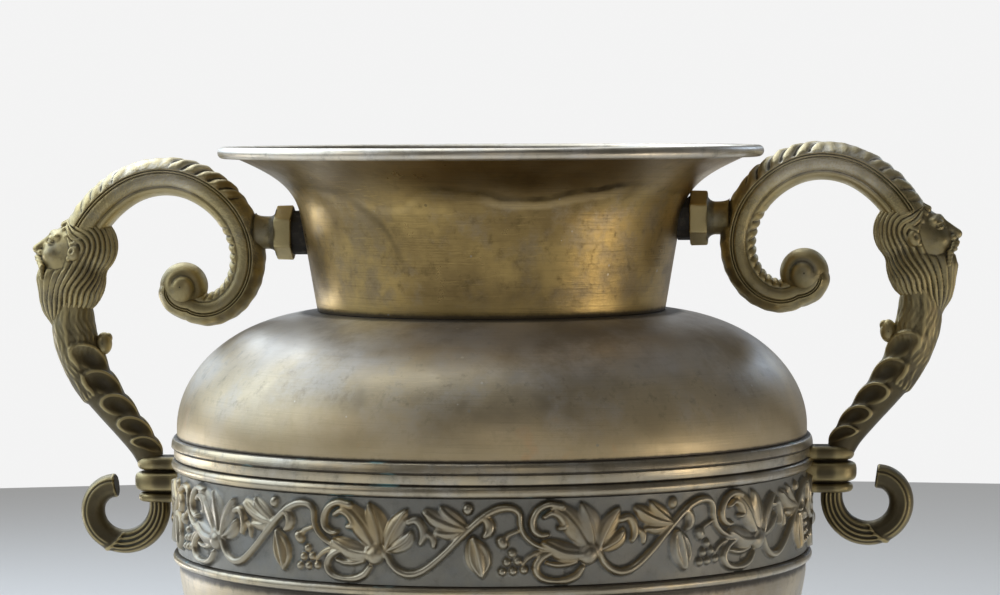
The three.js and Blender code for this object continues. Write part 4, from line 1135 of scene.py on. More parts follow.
scroll_angles = np.concatenate([
    np.linspace(SCROLL_START, SCROLL_END, 400, endpoint=False),
    np.linspace(SCROLL_END, SCROLL_TIP, 90),
])
scroll_share = np.clip((scroll_angles - SCROLL_START) / (SCROLL_END - SCROLL_START), 0, 1)
curl_share = np.clip((scroll_angles - SCROLL_END) / (SCROLL_TIP - SCROLL_END), 0, 1)
scroll_reach = scroll_radius(np.minimum(scroll_angles, SCROLL_END))
scroll_reach = scroll_reach * (1 - 0.55 * curl_share ** 0.6)
scroll_depth = 20 - 4 * scroll_share - 3.5 * curl_share
scroll_width = 22 - 3.2 * scroll_share + 2.4 * curl_share
turned_angles = np.radians(scroll_angles)
scroll_path = np.stack([
    SCROLL_EYE[0] + np.cos(turned_angles) * scroll_reach,
    SCROLL_EYE[1] + np.sin(turned_angles) * scroll_reach,
], axis=1)
scroll_travel = travel(scroll_path)
scroll_end = rounded_end(scroll_travel, SCROLL_END_ROUNDED)
print("the scroll's bar is", round(float(scroll_travel[-1])), "mm long")

# %% Section and carving of the scroll
SCROLL_HALF = [
    (1.0, 0.0), (0.97, 0.26), (0.88, 0.5), (0.74, 0.71), (0.58, 0.86), (0.47, 0.93),
    (0.405, 0.95), (0.37, 0.88), (0.335, 0.88), (0.305, 0.96), (0.265, 0.965), (0.235, 0.9),
    (0.2, 0.895), (0.16, 0.96), (0.08, 0.99), (-0.05, 1.0), (-0.2, 0.985), (-0.33, 0.94),
    (-0.43, 0.87), (-0.48, 0.78), (-0.53, 0.76), (-0.62, 0.77), (-0.76, 0.7), (-0.88, 0.54),
    (-0.97, 0.3), (-1.0, 0.0),
]
scroll_outline = loop_of(SCROLL_HALF, 66)


def scroll_relief(travelled, n, b):
    """Height of the carving: n runs from the inner edge to the back, b from side to side."""
    angle = np.interp(travelled, scroll_travel, scroll_angles)
    # Rope lobes on the back, deep near the neck and small near the mask, worn away between.
    back = smoothstep(0.40, 0.62, n)
    lobes = ripples(travelled + 5.5 * b, 6.6)
    deep = smoothstep(78, 92, angle) * (1 - smoothstep(116, 124, angle))
    small = smoothstep(30, 36, angle) * (1 - smoothstep(56, 70, angle))
    raised = back * (deep * (2.3 * lobes - 1.5) + small * (1.0 * lobes - 0.6))
    # Scallops on the inner edge.
    inner = smoothstep(0.50, 0.74, -n)
    notches = ripples(travelled - 3.4 * np.abs(b), 5.6)
    where = smoothstep(118, 138, angle) * (1 - smoothstep(222, 240, angle))
    raised = raised + inner * where * (1.2 * notches - 0.9)
    # A stippled band beside the back, and casting marks on the back itself.
    band = 1 - smoothstep(0.72, 0.8, n) - smoothstep(0.42, 0.5, -n)
    band = np.maximum(band - np.exp(-((n - 0.3) / 0.13) ** 4), 0)
    grain = np.sin(travelled * 2.9 + 31 * n + 2 * np.sin(travelled * 0.7 + 13 * n))
    grain = grain * np.sin(travelled * 1.7 - 43 * n + 2 * np.sin(travelled * 1.1 - 7 * n))
    worn = np.sin(travelled * 0.83 + 3 * b) * np.sin(travelled * 0.37 - 5 * b + 1) * back
    return raised + band * (1 - smoothstep(150, 175, angle)) * grain * 0.13 + 0.22 * worn


# %% Balls
POLE = 0.006


def ball_points(radius, rings, columns, snail):
    """A ball whose poles are its flat sides, with a snail's groove on each."""
    tilt = np.linspace(POLE, np.pi - POLE, rings)[:, None]
    around = np.linspace(0, 2 * np.pi, columns, endpoint=False)[None]
    share = np.sin(tilt)
    spiral = (around + 0.9) / (2 * np.pi) % 1
    groove = np.exp(-((share - 0.34 - 0.45 * spiral) / 0.13) ** 2) * smoothstep(0, 0.3, spiral)
    groove = groove * (1 - smoothstep(0.6, 0.95, spiral))
    reach = radius * (1 - snail * groove)
    return np.stack([
        np.broadcast_to(reach * share * np.cos(around), reach.shape),
        np.broadcast_to(reach * np.cos(tilt), reach.shape),
        np.broadcast_to(reach * share * np.sin(around), reach.shape),
    ], axis=2)


def make_ball(name, centre, radius, stretch=(1, 1, 1), rings=56, columns=96, snail=0.0):
    points = ball_points(radius, rings, columns, snail) * stretch + centre
    return make_object(name, points.reshape(-1, 3), grid_faces(rings, columns),
                       end_caps(rings, columns))


# %% [markdown]
# Stub and flange
#
# A screw in the neck pulls the handle against a six-sided flange, and a round stub, filleted at
# both ends, carries the scroll. Both are profiles of distance and radius, turned about a level
# line. The flange's radius is also multiplied by the shape of a hexagon, with its corners worn. A
# cylinder of six sides with a bevel would do, but this way both pieces share one helper.

# %% Stub and flange
STUB_LEVEL = 440.2
STUB_RADIUS = 8.2
STUB_END = 112.8
NEAR_FILLET = 4
FAR_FILLET, FAR_FLARE = 6, 1.6
FLANGE_FACE = 99.4
FLANGE_BACK = FLANGE_FACE + 8.8
FLAT = 12.0
WORN_CORNER = 1.14


def turn_across(name, profile, level, columns=72, shape=np.ones_like):
    """A profile of x and radius, turned about a level line along x."""
    profile = np.asarray(profile, float)
    around = np.linspace(0, 2 * np.pi, columns, endpoint=False)[None]
    reach = profile[:, 1:2] * shape(around)
    points = np.stack([
        np.broadcast_to(profile[:, 0:1], reach.shape),
        reach * np.cos(around),
        reach * np.sin(around) + level,
    ], axis=2)
    grid = len(profile), columns
    return make_object(name, points.reshape(-1, 3), grid_faces(*grid), end_caps(*grid),
                       TURNED_SHARP)


def hexagon(around):
    """Six flats with slightly worn corners, one corner at the top."""
    from_flat = (around + np.pi / 6) % (np.pi / 3) - np.pi / 6
    return np.minimum(1 / np.cos(from_flat), WORN_CORNER)


def make_stub():
    bend = np.linspace(0, np.pi / 2, 9)
    near = np.stack([FLANGE_BACK - GAP + NEAR_FILLET * (1 - np.cos(bend)),
                     STUB_RADIUS + NEAR_FILLET * (1 - np.sin(bend))], axis=1)
    far = np.stack([STUB_END + FAR_FILLET * np.sin(bend),
                    STUB_RADIUS + FAR_FLARE * (1 - np.cos(bend))], axis=1)
    stub = turn_across("stub", np.vstack([near, far]), STUB_LEVEL)
    flange = turn_across("flange", [
        (FLANGE_FACE, FLAT - 0.7), (FLANGE_FACE + 0.6, FLAT), (FLANGE_BACK - 0.8, FLAT - 0.15),
        (FLANGE_BACK - 0.2, FLAT - 0.5), (FLANGE_BACK, FLAT - 1.1),
    ], STUB_LEVEL, columns=120, shape=hexagon)
    return [stub, flange]


# %% [markdown]
# Arm
#
# The arm leaves the beard at its thickest and thins towards the clasp. A ribbed leaf covers its
# upper part and ends in a small step on the outside. Five scooped scales overlap along the inner
# half of both sides, each with a raised rim, and a bud sits on the inner edge. The arm is a bar
# like the scroll, through listed knots of distance, height and depth, and leaf and scales are a
# carved height that depends on the way along the bar and the angle round it.

# %% Arm
ARM_KNOTS = [
    (211.4, 412.0, 12.0), (212.3, 402.0, 18.6), (211.6, 389.0, 21.2),
    (208.0, 376.5, 20.6), (202.2, 365.0, 19.4), (194.4, 354.3, 17.6),
    (185.4, 343.0, 15.6), (177.8, 333.2, 14.4), (173.4, 325.0, 13.4),
]
ARM_BURIED = 10.0
LEAF_END = (44, 47)
SCOOP_DEPTH, SCOOP_RIM = 2.3, 1.2
SCOOP_LENGTH, SCOOP_MIDDLE, SCOOP_HALF = 7.2, 2.12, 0.82
# Place along the arm and size of each scale
ARM_SCALES = [(27.5, 1.08), (43.0, 1.1), (57.5, 1.0), (70.5, 0.85), (80.5, 0.55)]
ROUND_HALF = [(np.cos(a), np.sin(a)) for a in np.linspace(0, np.pi, 17)]


def arm_relief(travelled, n, b):
    """Height of the leaf and the scales. round_angle is 0 on the outside and pi inside."""
    travelled = travelled - ARM_BURIED
    # The leaf's ribs, and its step on the outer side.
    leaf = 1 - smoothstep(*LEAF_END, travelled)
    round_angle = np.arctan2(np.abs(b), n)
    outer = 1 - smoothstep(1.25, 1.55, round_angle)
    ribs = ripples(round_angle * 8.0 + 1.5 * np.sin(travelled * 0.13 + 1) + 0.02 * travelled, 4.6)
    top = 1 - smoothstep(18, 30, travelled)
    raised = leaf * np.maximum(outer, top) * (0.27 * ribs - 0.08)
    raised = raised + leaf * outer * 0.9
    strokes = np.sin(round_angle * 23 + 2.5 * np.sin(travelled * 0.31)) * np.sin(travelled * 0.47)
    raised = raised + 0.12 * leaf * np.maximum(outer, top) * strokes
    # The scales, along the inner half of each side.
    for centre, size in ARM_SCALES:
        along = (travelled - centre - 5.5 * (round_angle - 2.0)) / (SCOOP_LENGTH * size)
        across = (round_angle - SCOOP_MIDDLE) / SCOOP_HALF
        reach = np.sqrt(along ** 2 + across ** 2)
        scoop = 1 - smoothstep(0.1, 0.9, reach)
        rim = np.exp(-((reach - 1.04) / 0.17) ** 2) * (1 - smoothstep(-0.5, 0.9, along))
        raised = raised - SCOOP_DEPTH * size * scoop + SCOOP_RIM * rim
    return raised


def make_arm():
    knots = smooth_line(ARM_KNOTS, 330)
    width = np.interp(np.arange(len(knots)), [0, 30, 329], [12.0, 19.0, 13.0])
    arm = tube("arm", knots[:, :2], knots[:, 2], width, loop_of(ROUND_HALF, 62), arm_relief,
               inside_out=True, shaded=1.9)
    bud = make_ball("bud", (197.2, 0, 384.2), 4.6, (0.9, 0.95, 1.25), 28, 40)
    tip = make_ball("bud_tip", (195.0, 0, 387.0), 2.2, (1, 1, 1.2), 16, 24)
    return [arm, bud, tip]


# %% [markdown]
# Clasp
#
# The clasp is a small block with a round front that lies against the upper belt and the frieze.
# Three ridges run round it. Its plan is one line with the direction to push it in at each point,
# and the ridges are a list of levels, each with how far the plan is pushed out there. A box with
# loop cuts gives the same shape, but a list is quicker to change.

# %% Clasp
CLASP_LEVELS = [
    (304.3, -3.4), (304.7, -1.7), (305.6, -0.8), (306.8, -0.6), (308.0, -0.9), (308.9, -1.9),
    (309.2, -2.9), (309.6, -2.9), (310.0, -1.3), (311.0, 0.4), (312.6, 1.1), (314.8, 1.25),
    (317.0, 1.1), (318.6, 0.4), (319.5, -1.3), (319.9, -2.9), (320.4, -2.9), (320.9, -1.4),
    (321.9, -0.4), (323.4, 0.0), (325.0, -0.2), (326.4, -1.0), (327.2, -2.3), (327.4, -3.6),
]
CLASP_HALF_WIDTH = 9.5
CLASP_END = 170.9
CLASP_SUNK = 0.8


def make_clasp():
    root = ground_radius - CLASP_SUNK
    bend = np.linspace(-np.pi / 2, np.pi / 2, 41)
    straight = np.linspace(root, CLASP_END, 12, endpoint=False)
    plan = [(x, -CLASP_HALF_WIDTH, 0.0, -1.0) for x in straight]
    plan += [(CLASP_END + CLASP_HALF_WIDTH * np.cos(a), CLASP_HALF_WIDTH * np.sin(a),
              np.cos(a), np.sin(a)) for a in bend]
    plan += [(x, CLASP_HALF_WIDTH, 0.0, 1.0) for x in straight[::-1]]
    plan = np.array(plan)
    levels = smooth_line(CLASP_LEVELS, 90)
    points = np.stack([
        plan[None, :, 0] + plan[None, :, 2] * levels[:, 1:2],
        plan[None, :, 1] + plan[None, :, 3] * levels[:, 1:2],
        np.broadcast_to(levels[:, 0:1], (len(levels), len(plan))),
    ], axis=2)
    grid = points.shape[:2]
    return [make_object("clasp", points.reshape(-1, 3), grid_faces(*grid), end_caps(*grid),
                        CARVED_SHARP)]


# %% [markdown]
# Volute
#
# Under the clasp the casting ends in a small hook, which rolls up outwards. It is one more bar
# along a spiral. Flutes run down it from the clasp and end under a fold, and its tip is sawn off
# flat.

# %% Volute
VOLUTE_EYE = (188.5, 302.0)
VOLUTE_START, VOLUTE_END = 164, 423
VOLUTE_RADIUS, VOLUTE_WINDING = 19.3, 8.1
TIP_ROUNDED = 0.9
VOLUTE_HALF = [
    (1.0, 0.0), (0.93, 0.4), (0.78, 0.72), (0.58, 0.92), (0.36, 1.0), (0.12, 0.99),
    (-0.12, 0.95), (-0.36, 0.88), (-0.6, 0.74), (-0.82, 0.52), (-0.95, 0.28), (-1.0, 0.0),
]


def volute_relief(travelled, n, b):
    share = travelled / travelled[-1]
    side = smoothstep(0.05, 0.3, np.abs(b))
    # Flutes run down from the clasp. Their leaf folds over and ends under the eye.
    fold_end = 0.47 + 0.05 * n
    fold = 1 - smoothstep(-0.02, 0.02, share - fold_end)
    flutes = 0.5 - 0.5 * np.cos(2 * np.pi * (n + 0.12) / 0.42)
    raised = fold * side * (0.95 * flutes - 0.85) * (1 - smoothstep(0.5, 0.85, np.abs(n)))
    edge = np.exp(-((share - fold_end) / 0.014) ** 2) * smoothstep(-0.9, -0.4, n)
    raised = raised + 0.9 * edge * side
    # Then one fillet follows the back up to the tip, with a shallow channel beside it.
    rim = smoothstep(0.0, 0.06, share - fold_end)
    groove = np.exp(-((n - 0.5) / 0.1) ** 2) + 0.5 * np.exp(-((n + 0.1) / 0.35) ** 2)
    return raised - 0.5 * rim * groove * side


def make_volute():
    share = np.linspace(0, 1, 200)
    angle = np.radians(VOLUTE_START + (VOLUTE_END - VOLUTE_START) * share)
    reach = VOLUTE_RADIUS - VOLUTE_WINDING * share ** 2.2
    path = np.stack([VOLUTE_EYE[0] + np.cos(angle) * reach,
                     VOLUTE_EYE[1] + np.sin(angle) * reach], axis=1)
    ahead = path[-1] - path[-2]
    ahead /= np.linalg.norm(ahead)
    extra = path[-1] + ahead * np.linspace(0.3, 2.4, 10)[:, None]
    path = np.vstack([path, extra])
    travelled = travel(path)
    left = travelled[-1] - travelled
    # The tip is sawn off flat, with its edge a little rounded.
    ends = 1 - 0.14 * (1 - np.minimum(left / TIP_ROUNDED, 1)) ** 2
    depth = np.interp(np.arange(len(path)), [0, 60, 200, 209], [10.5, 12.2, 12.0, 12.0]) * ends
    width = np.interp(np.arange(len(path)), [0, 200, 209], [12.5, 13.4, 13.4]) * ends
    return [tube("volute", path, depth, width, loop_of(VOLUTE_HALF, 44), volute_relief)]


# %% [markdown]
# Mask
#
# A head is made from soft masses, not from a grid. Each mass is a function that tells how far a
# point lies outside it: an egg, or a bar with round ends. Masses are joined with a soft seam, and
# sockets are cut with a soft cut. Hair and beard are ripples added to that distance. They follow
# a bent line that runs from the brow over the ear and down through the beard, as combed hair
# does. The face itself is a plain calm one, set out by the usual thirds. A head can be sculpted
# by hand in Blender, but a script can't repeat the strokes.

# %% Distance shapes
def egg(p, centre, radii):
    """How far points lie outside an egg, nearly true close to its surface."""
    q = p - np.array(centre, np.float32)
    first = np.sqrt(np.sum((q / np.array(radii, np.float32)) ** 2, axis=-1))
    second = np.sqrt(np.sum((q / np.array(radii, np.float32) ** 2) ** 2, axis=-1))
    return first * (first - 1) / np.maximum(second, 1e-6)


def bar(p, start, end, start_radius, end_radius):
    """How far points lie outside a bar with round ends, which may taper."""
    start = np.array(start, np.float32)
    axis = np.array(end, np.float32) - start
    share = np.clip(np.sum((p - start) * axis, axis=-1) / np.sum(axis ** 2), 0, 1)
    away = p - start - share[..., None] * axis
    radius = start_radius + (end_radius - start_radius) * share
    return np.sqrt(np.sum(away ** 2, axis=-1)) - radius


def melt(a, b, seam):
    """Two masses joined with a soft seam."""
    h = np.clip(0.5 + 0.5 * (b - a) / seam, 0, 1)
    return b * (1 - h) + a * h - seam * h * (1 - h)


def carve(a, b, seam):
    """Mass a with mass b softly cut away."""
    return -melt(-a, b, seam)


# %% Strands of hair
STRAND_KNOTS = [(12.5, 14.0), (4.0, 11.5), (-4.0, 5.0), (-6.2, -5.0), (-4.2, -17.0), (-2.2, -29.0),
                (-2.8, -44.0)]
STRAND_LINE = smooth_line(STRAND_KNOTS, 60).astype(np.float32)
STRAND_AHEAD = np.gradient(STRAND_LINE, axis=0)
STRAND_STEP = float(np.linalg.norm(STRAND_AHEAD, axis=1).mean())
STRAND_AHEAD /= np.linalg.norm(STRAND_AHEAD, axis=1)[:, None]
STRAND_PITCH = np.pi / 13.5


def strands(f, s, u):
    """Crests of hair that runs along a bent line, from the brow over the ear into the beard."""
    away = (f[..., None] - STRAND_LINE[:, 0]) ** 2 + (u[..., None] - STRAND_LINE[:, 1]) ** 2
    nearest = np.argmin(away, axis=-1)
    spot, ahead = STRAND_LINE[nearest], STRAND_AHEAD[nearest]
    beyond = (f - spot[..., 0]) * ahead[..., 0] + (u - spot[..., 1]) * ahead[..., 1]
    to_face = (u - spot[..., 1]) * ahead[..., 0] - (f - spot[..., 0]) * ahead[..., 1]
    turn = np.arctan2(s, to_face)
    travelled = nearest * STRAND_STEP + beyond
    wave = 0.13 * np.sin(0.17 * travelled + 0.8) + 0.05 * np.sin(0.34 * travelled + 2.4 * turn)
    coarse = ripples(turn + wave, STRAND_PITCH)
    fine = ripples(turn + 1.3 * wave, STRAND_PITCH / 3)
    return coarse + 0.22 * fine


# %% Head and beard
BROW_LEVEL = 4.4
EYE = (13.4, 5.2, 1.2)


def mask_distance(p):
    """p holds forward, sideways and up, from the middle of the head."""
    f, y, u = p[..., 0], p[..., 1], p[..., 2]
    s = np.abs(y)
    m = np.stack([f, s, u], axis=-1)

    head = melt(egg(m, (-2, 0, 4), (15.0, 12.4, 15.0)), egg(m, (5, 0, -4), (13.5, 10.4, 15)), 4)
    head = melt(head, bar(m, (15.6, 1.6, BROW_LEVEL), (12.4, 8.0, BROW_LEVEL - 0.4), 1.9, 1.6), 2)
    head = melt(head, egg(m, (11.9, 6.2, -5.6), (4.4, 4.0, 4.0)), 2.4)
    head = carve(head, egg(m, (17.6, 5.0, 1.0), (4.2, 3.1, 2.4)), 1.3)
    ball = egg(m, EYE, (2.9, 2.9, 2.7))
    upper_lid = np.maximum(egg(m, EYE, (3.6, 3.7, 3.4)), 0.7 + EYE[2] - u)
    lower_lid = np.maximum(egg(m, EYE, (3.4, 3.6, 3.3)), u + 1.0 - EYE[2])
    head = np.minimum(head, np.minimum(ball, np.minimum(upper_lid, lower_lid)))
    head = melt(head, bar(m, (15.4, 0, 3.6), (21.0, 0, -5.4), 1.7, 2.2), 1.6)
    head = melt(head, egg(m, (20.9, 0, -6.2), (2.6, 2.3, 2.1)), 1.0)
    head = melt(head, egg(m, (18.3, 2.1, -6.9), (2.0, 1.6, 1.6)), 0.8)

    # Hair begins behind its line. The beard is a long mass under cheek and ear, with a point.
    hairline = 3.0 + 0.66 * np.maximum(u, 0) + 0.1 * np.maximum(-u, 0)
    hair = smoothstep(-0.3, 1.2, hairline - f) * smoothstep(-12, -8, u)
    beard = melt(egg(m, (-3.6, 0, -15), (13.3, 12.2, 16.5)),
                 bar(m, (6.4, 0, -17), (1.6, 0, -29), 9.4, 7.6), 3)
    beard = melt(beard, bar(m, (0.5, 0, -28), (-2.6, 0, -41.8), 8.0, 2.0), 4)
    cheek = u + 9.5 - 0.62 * np.maximum(12.5 - f, 0) + 0.5 * np.maximum(-f, 0)
    beard = beard + 2.5 * smoothstep(-1.0, 1.6, cheek) * smoothstep(-9, -3, f)
    bearded = smoothstep(-0.5, 0.9, head - beard)
    mass = melt(head, beard, 0.7 + 2.0 * smoothstep(2, -5, f))
    thick = 0.35 + 0.65 * smoothstep(-43, -26, u)
    mass = mass - np.maximum(hair, bearded) * (1.35 * strands(f, s, u) * thick - 0.25)
    for k in range(5):
        side = 2.9 * k
        lock = bar(m, (8.0 - 0.5 * k * k, side, 15.6 - 0.55 * k * k),
                   (12.5 - 0.6 * k * k, side + 0.9, 10.7 - 0.5 * k * k), 1.3, 1.25)
        mass = melt(mass, lock, 0.6)

    ear = egg(m, (0.4, 12.6, -0.3), (3.2, 2.4, 4.0))
    ear = carve(ear, egg(m, (1.9, 15.4, 0.5), (1.5, 1.7, 2.0)), 0.7)
    lobe = egg(m, (2.0, 12.2, -3.9), (1.4, 1.8, 1.5))
    mass = carve(mass, egg(m, (1.0, 14.4, -0.4), (3.4, 2.2, 4.6)), 0.8)
    head = melt(melt(mass, ear, 0.5), lobe, 0.6)

    # Moustache and lower lip over it.
    wave = ripples(m[..., 2] * 0.8 - m[..., 1] * 0.25, 1.5)
    hairs = bar(m, (18.9, 0.9, -9.6), (14.6, 7.0, -13.2), 1.9, 1.3)
    hairs = np.minimum(hairs, bar(m, (14.6, 7.0, -13.2), (12.2, 9.0, -18.5), 1.4, 0.7))
    head = melt(head, hairs - 0.3 * wave, 0.4)
    lip = egg(m, (17.0, 0, -12.7), (1.9, 3.0, 1.1))
    return melt(head, lip, 0.5)


# %% [markdown]
# From a distance to a mesh
#
# A fine lattice is laid over the head. A cell of it that has corners inside and corners outside
# gets one point, in the middle of the places where the surface crosses its edges. Each crossed
# edge has four cells round it, and their points make one quad. So the mesh is closed by itself.
# Blender's metaballs melt together in the same way, but they can't carry the ripples of hair.

# %% Zero surface of a distance
HEAD_CENTRE = (209.0, 430.5)
HEAD_TILT = math.radians(20)
MASK_CELL = 0.42
MASK_LOW, MASK_HIGH = (-21, -18, -46), (26, 18, 23)


def zero_surface(distance, low, high, cell):
    """The surface where a distance is zero, with one point in each lattice cell it crosses."""
    axes = [np.arange(a, b + cell, cell, dtype=np.float32) for a, b in zip(low, high)]
    shape = [len(a) for a in axes]
    value = np.empty(shape, np.float32)
    for i, f in enumerate(axes[0]):
        plane = np.stack(np.meshgrid([f], axes[1], axes[2], indexing="ij"), axis=-1)
        value[i] = distance(plane)[0]
    inside = value < 0
    cells = [n - 1 for n in shape]
    total = np.zeros(cells + [3])
    count = np.zeros(cells)
    crossings = []
    for axis in range(3):
        first = [slice(None)] * 3
        second = [slice(None)] * 3
        first[axis] = slice(0, -1)
        second[axis] = slice(1, None)
        first, second = tuple(first), tuple(second)
        crossed = np.argwhere(inside[first] != inside[second])
        a = value[first][tuple(crossed.T)]
        b = value[second][tuple(crossed.T)]
        spot = crossed.astype(float)
        spot[:, axis] += a / (a - b)
        crossings.append((axis, crossed, inside[first][tuple(crossed.T)]))
        others = [k for k in range(3) if k != axis]
        for i in (0, 1):
            for j in (0, 1):
                at = crossed.copy()
                at[:, others[0]] -= i
                at[:, others[1]] -= j
                fits = np.all((at >= 0) & (at < cells), axis=1)
                where = tuple(at[fits].T)
                np.add.at(total, where, spot[fits])
                np.add.at(count, where, 1)
    used = count > 0
    number = -np.ones(cells, np.int64)
    number[used] = np.arange(np.count_nonzero(used))
    points = total[used] / count[used][:, None] * cell + np.array(low)
    quads = []
    for axis, crossed, starts_inside in crossings:
        j, k = [(1, 2), (2, 0), (0, 1)][axis]
        fits = (crossed[:, j] > 0) & (crossed[:, k] > 0)
        fits &= (crossed[:, j] < cells[j]) & (crossed[:, k] < cells[k])
        crossed, starts_inside = crossed[fits], starts_inside[fits]
        corners = []
        for a, b in ((0, 0), (1, 0), (1, 1), (0, 1)):
            at = crossed.copy()
            at[:, j] -= a
            at[:, k] -= b
            corners.append(number[tuple(at.T)])
        quad = np.stack(corners, axis=1)
        quad[~starts_inside] = quad[~starts_inside][:, ::-1]
        quads.append(quad)
    return points, np.vstack(quads)


def make_mask():
    local, quads = zero_surface(mask_distance, MASK_LOW, MASK_HIGH, MASK_CELL)
    ahead, aside, up = local.T
    cosine, sine = math.cos(HEAD_TILT), math.sin(HEAD_TILT)
    points = np.stack([
        HEAD_CENTRE[0] + cosine * ahead - sine * up,
        aside,
        HEAD_CENTRE[1] + sine * ahead + cosine * up,
    ], axis=1)
    return make_object("mask", points, quads, sharp=70)


# %% [markdown]
# Assembling the casting
#
# Each handle is three meshes: the scroll with its ball, stub and flange, the mask, and the arm
# with clasp and volute. Their grooves are found by comparing each point with its smoothed
# neighbourhood. The right handle is a copy, raised a little, and the left one is a copy turned by
# half a turn and lowered, as they are fitted on the urn.

# %% Assembling the casting
scroll_bar = tube("scroll_bar", scroll_path, scroll_depth * scroll_end,
                  scroll_width * scroll_end, scroll_outline, scroll_relief)
ball = make_ball("ball", (SCROLL_EYE[0], 0, SCROLL_EYE[1]), BALL_RADIUS, snail=0.09)
casting = [
    join("scroll", [scroll_bar, ball] + make_stub()),
    make_mask(),
    join("arm", make_arm() + make_clasp() + make_volute()),
]
LIFTS = {"right": 3.5, "left": -3.5}
# Smoothing passes and depth of a full recess in millimetres
RECESS_PASSES = {"scroll": (14, 0.35), "mask": (12, 0.3), "arm": (14, 0.35)}

for part in casting:
    mark_recesses(part, *RECESS_PASSES[part.name.split(".")[0]])
    part.data.materials.append(cast_brass)
    print(part.name, len(part.data.polygons) * 2, "triangles")

for side, lift in LIFTS.items():
    for part in casting:
        piece = part.copy()
        piece.data = part.data.copy()
        piece.name = side + "_" + part.name.split(".")[0]
        places = read_points(piece.data, "co")
        if side == "left":
            places = places * [-1, -1, 1]
        places[:, 2] += lift * MM
        piece.data.vertices.foreach_set("co", places.ravel())
        piece.data.update()
        scene.collection.objects.link(piece)
        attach(piece, "root")
        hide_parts(side + "_handle")
for part in casting:
    bpy.data.objects.remove(part)

# %% [markdown]
# Screws, washers and packing
#
# Small fasteners keep the frame's own meshes, because their shape is already right. They only get
# a finish: dull steel for what is screwed, and a matte packing for the wedge between each handle's
# flange and the sloping neck, painted near black as the shade in the gap there.

# %% Finish of the kept pieces
def packing(name):
    """Dull packing with a little dust, painted near black as the shade in the gap under the flange.
    """
    material, tree, shader, place = start_finish(name)
    dust = noise(tree, place, 240, 4, 0.7)
    base = mix(tree, fade(tree, dust, 0.45, 0.75), colour(0.022, 0.019, 0.016),
               colour(0.075, 0.064, 0.05))
    finish_with(tree, shader, base, fade(tree, dust, 0.3, 0.7, 0.6, 0.9), dust, 0.5, 0.0003)
    return material


# The packing's near-black colour is painted shade of the gap under each flange.
packing_in_painted_shade = packing("dark_packing_matte")
kept = [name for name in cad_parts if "saddle" in name or "washer" in name
        or "screw" in name or "nut" in name or name == "tie_rod"]
for name in kept:
    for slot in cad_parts[name].material_slots:
        slot.material = packing_in_painted_shade if "saddle" in name else screw_steel
print("kept from the frame:", kept)

# %% [markdown]
# Studio
#
# The studio is plain: an almost white backdrop behind the urn and a plain pale disc as the floor.
# Metal shows what it mirrors, so the world that it sees is a dimmer room, darkest in front where
# the camera stands. Large cool windows at the left and behind give the broad sheen on the left
# half of the shoulder. Small low lamps with a narrow spread light the handles from below.

# %% Floor and backdrop
FLOOR_RADIUS, FLOOR_LEVEL = 3.0, -0.0005
floor_points = [(FLOOR_RADIUS * math.cos(a), FLOOR_RADIUS * math.sin(a), FLOOR_LEVEL)
                for a in np.linspace(0, 2 * math.pi, 96, endpoint=False)]
floor_mesh = bpy.data.meshes.new("floor")
floor_mesh.from_pydata(floor_points, [], [list(range(len(floor_points)))])
floor = bpy.data.objects.new("floor", floor_mesh)
scene.collection.objects.link(floor)
floor_paint = bpy.data.materials.new("floor_paint")
floor_paint.use_nodes = True
floor_shader = floor_paint.node_tree.nodes["Principled BSDF"]
floor_shader.inputs["Base Color"].default_value = colour(0.70, 0.69, 0.67)
floor_shader.inputs["Roughness"].default_value = 0.8
floor_mesh.materials.append(floor_paint)

# %% World
world = bpy.data.worlds.new("backdrop")
world.use_nodes = True
scene.world = world
sky = world.node_tree
background = sky.nodes["Background"]
direction = node(sky, "ShaderNodeTexCoord").outputs["Generated"]
_, away, height = parts_of(sky, direction)
shade = node(sky, "ShaderNodeValToRGB", {"Fac": fade(sky, height, -1.0, 1.0)})
shade.color_ramp.elements[0].color = (0.18, 0.18, 0.175, 1)
shade.color_ramp.elements[1].color = (0.13, 0.135, 0.14, 1)
for place, level in ((0.5, 0.26), (0.62, 0.27), (0.8, 0.17)):
    shade.color_ramp.elements.new(place).color = (level, level, level, 1)
dimmed = mix(sky, fade(sky, away, -0.6, 0.7), colour(0.065, 0.063, 0.06), shade.outputs["Color"])
seen = node(sky, "ShaderNodeLightPath").outputs
direct = math_node(sky, "MAXIMUM", math_node(sky, "MAXIMUM", seen["Is Camera Ray"],
                                             seen["Is Glossy Ray"]), seen["Is Transmission Ray"])
backdrop = mix(sky, direct, colour(0.42, 0.42, 0.42), dimmed)
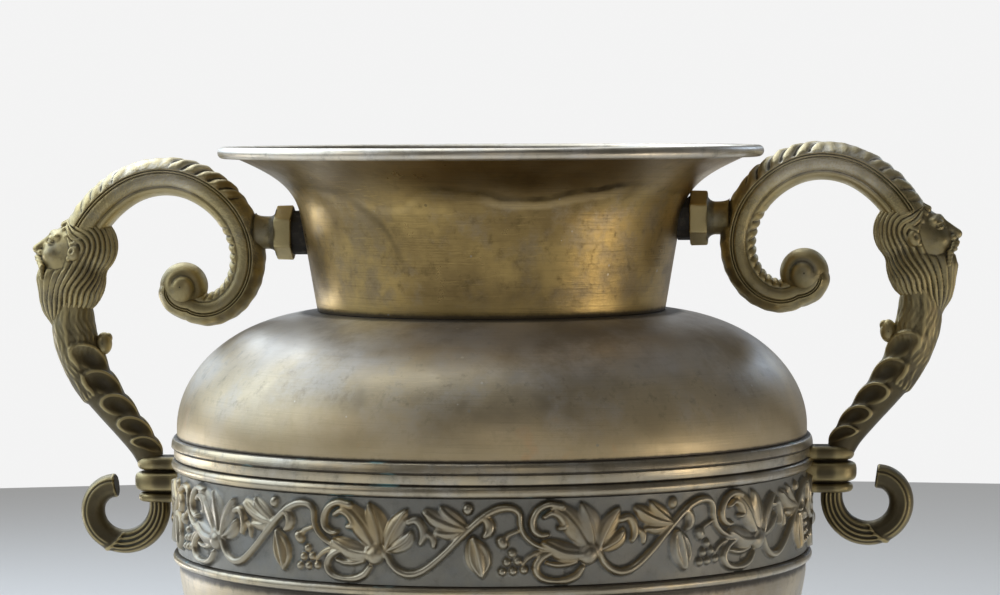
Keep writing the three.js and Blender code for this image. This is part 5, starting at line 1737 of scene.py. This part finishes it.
backdrop = mix(sky, seen["Is Camera Ray"], backdrop, colour(0.9, 0.9, 0.9))
sky.links.new(backdrop, background.inputs["Color"])
background.inputs["Strength"].default_value = 1.0


# %% Lamps
def soft_lamp(name, place, target, size, power, tint, spread=180):
    """A rectangular soft light, turned towards a target. The camera doesn't see it."""
    data = bpy.data.lights.new(name, "AREA")
    data.shape = "RECTANGLE"
    data.size, data.size_y = size
    data.energy = power
    data.color = tint
    data.spread = math.radians(spread)
    lamp = bpy.data.objects.new(name, data)
    scene.collection.objects.link(lamp)
    lamp.location = place
    lamp.visible_camera = False
    aim = np.array(target) - np.array(place)
    flat = math.hypot(aim[0], aim[1])
    lamp.rotation_euler = (math.atan2(flat, -aim[2]), 0, math.atan2(aim[1], aim[0]) - math.pi / 2)


soft_lamp("window", (-1.35, 1.05, 1.4), (0, 0, 0.36), (2.0, 1.7), 20, (0.68, 0.82, 1.0))
soft_lamp("left_wall", (-1.9, -0.15, 1.3), (0, 0, 0.36), (1.5, 1.5), 13, (0.75, 0.87, 1.0))
soft_lamp("skylight", (-0.5, 1.5, 1.8), (0, 0, 0.4), (1.8, 1.2), 10, (0.84, 0.91, 1.0))
soft_lamp("overhead", (-0.6, 0.3, 2.2), (0, 0, 0.4), (1.7, 1.9), 15, (0.86, 0.93, 1.0))
soft_lamp("front_left", (-1.5, -1.2, 1.2), (0, 0, 0.36), (1.0, 1.0), 2.2, (1.0, 0.97, 0.92))
soft_lamp("small_window", (0.95, 1.65, 1.1), (0, 0, 0.38), (0.45, 0.45), 1.8, (0.55, 0.72, 1.0))
soft_lamp("warm_low", (1.3, -0.35, 0.1), (0.05, 0, 0.4), (0.6, 0.16), 0.13, (1.0, 0.88, 0.72),
          spread=50)
soft_lamp("low_left", (-1.25, 0.8, 0.12), (0, 0, 0.42), (0.8, 0.16), 0.2, (0.95, 0.97, 1.0),
          spread=50)
soft_lamp("front", (0.6, -2.2, 0.9), (0, 0, 0.38), (1.2, 0.8), 1.8, (1.0, 0.95, 0.87))
print(len(bpy.data.lights), "lamps")
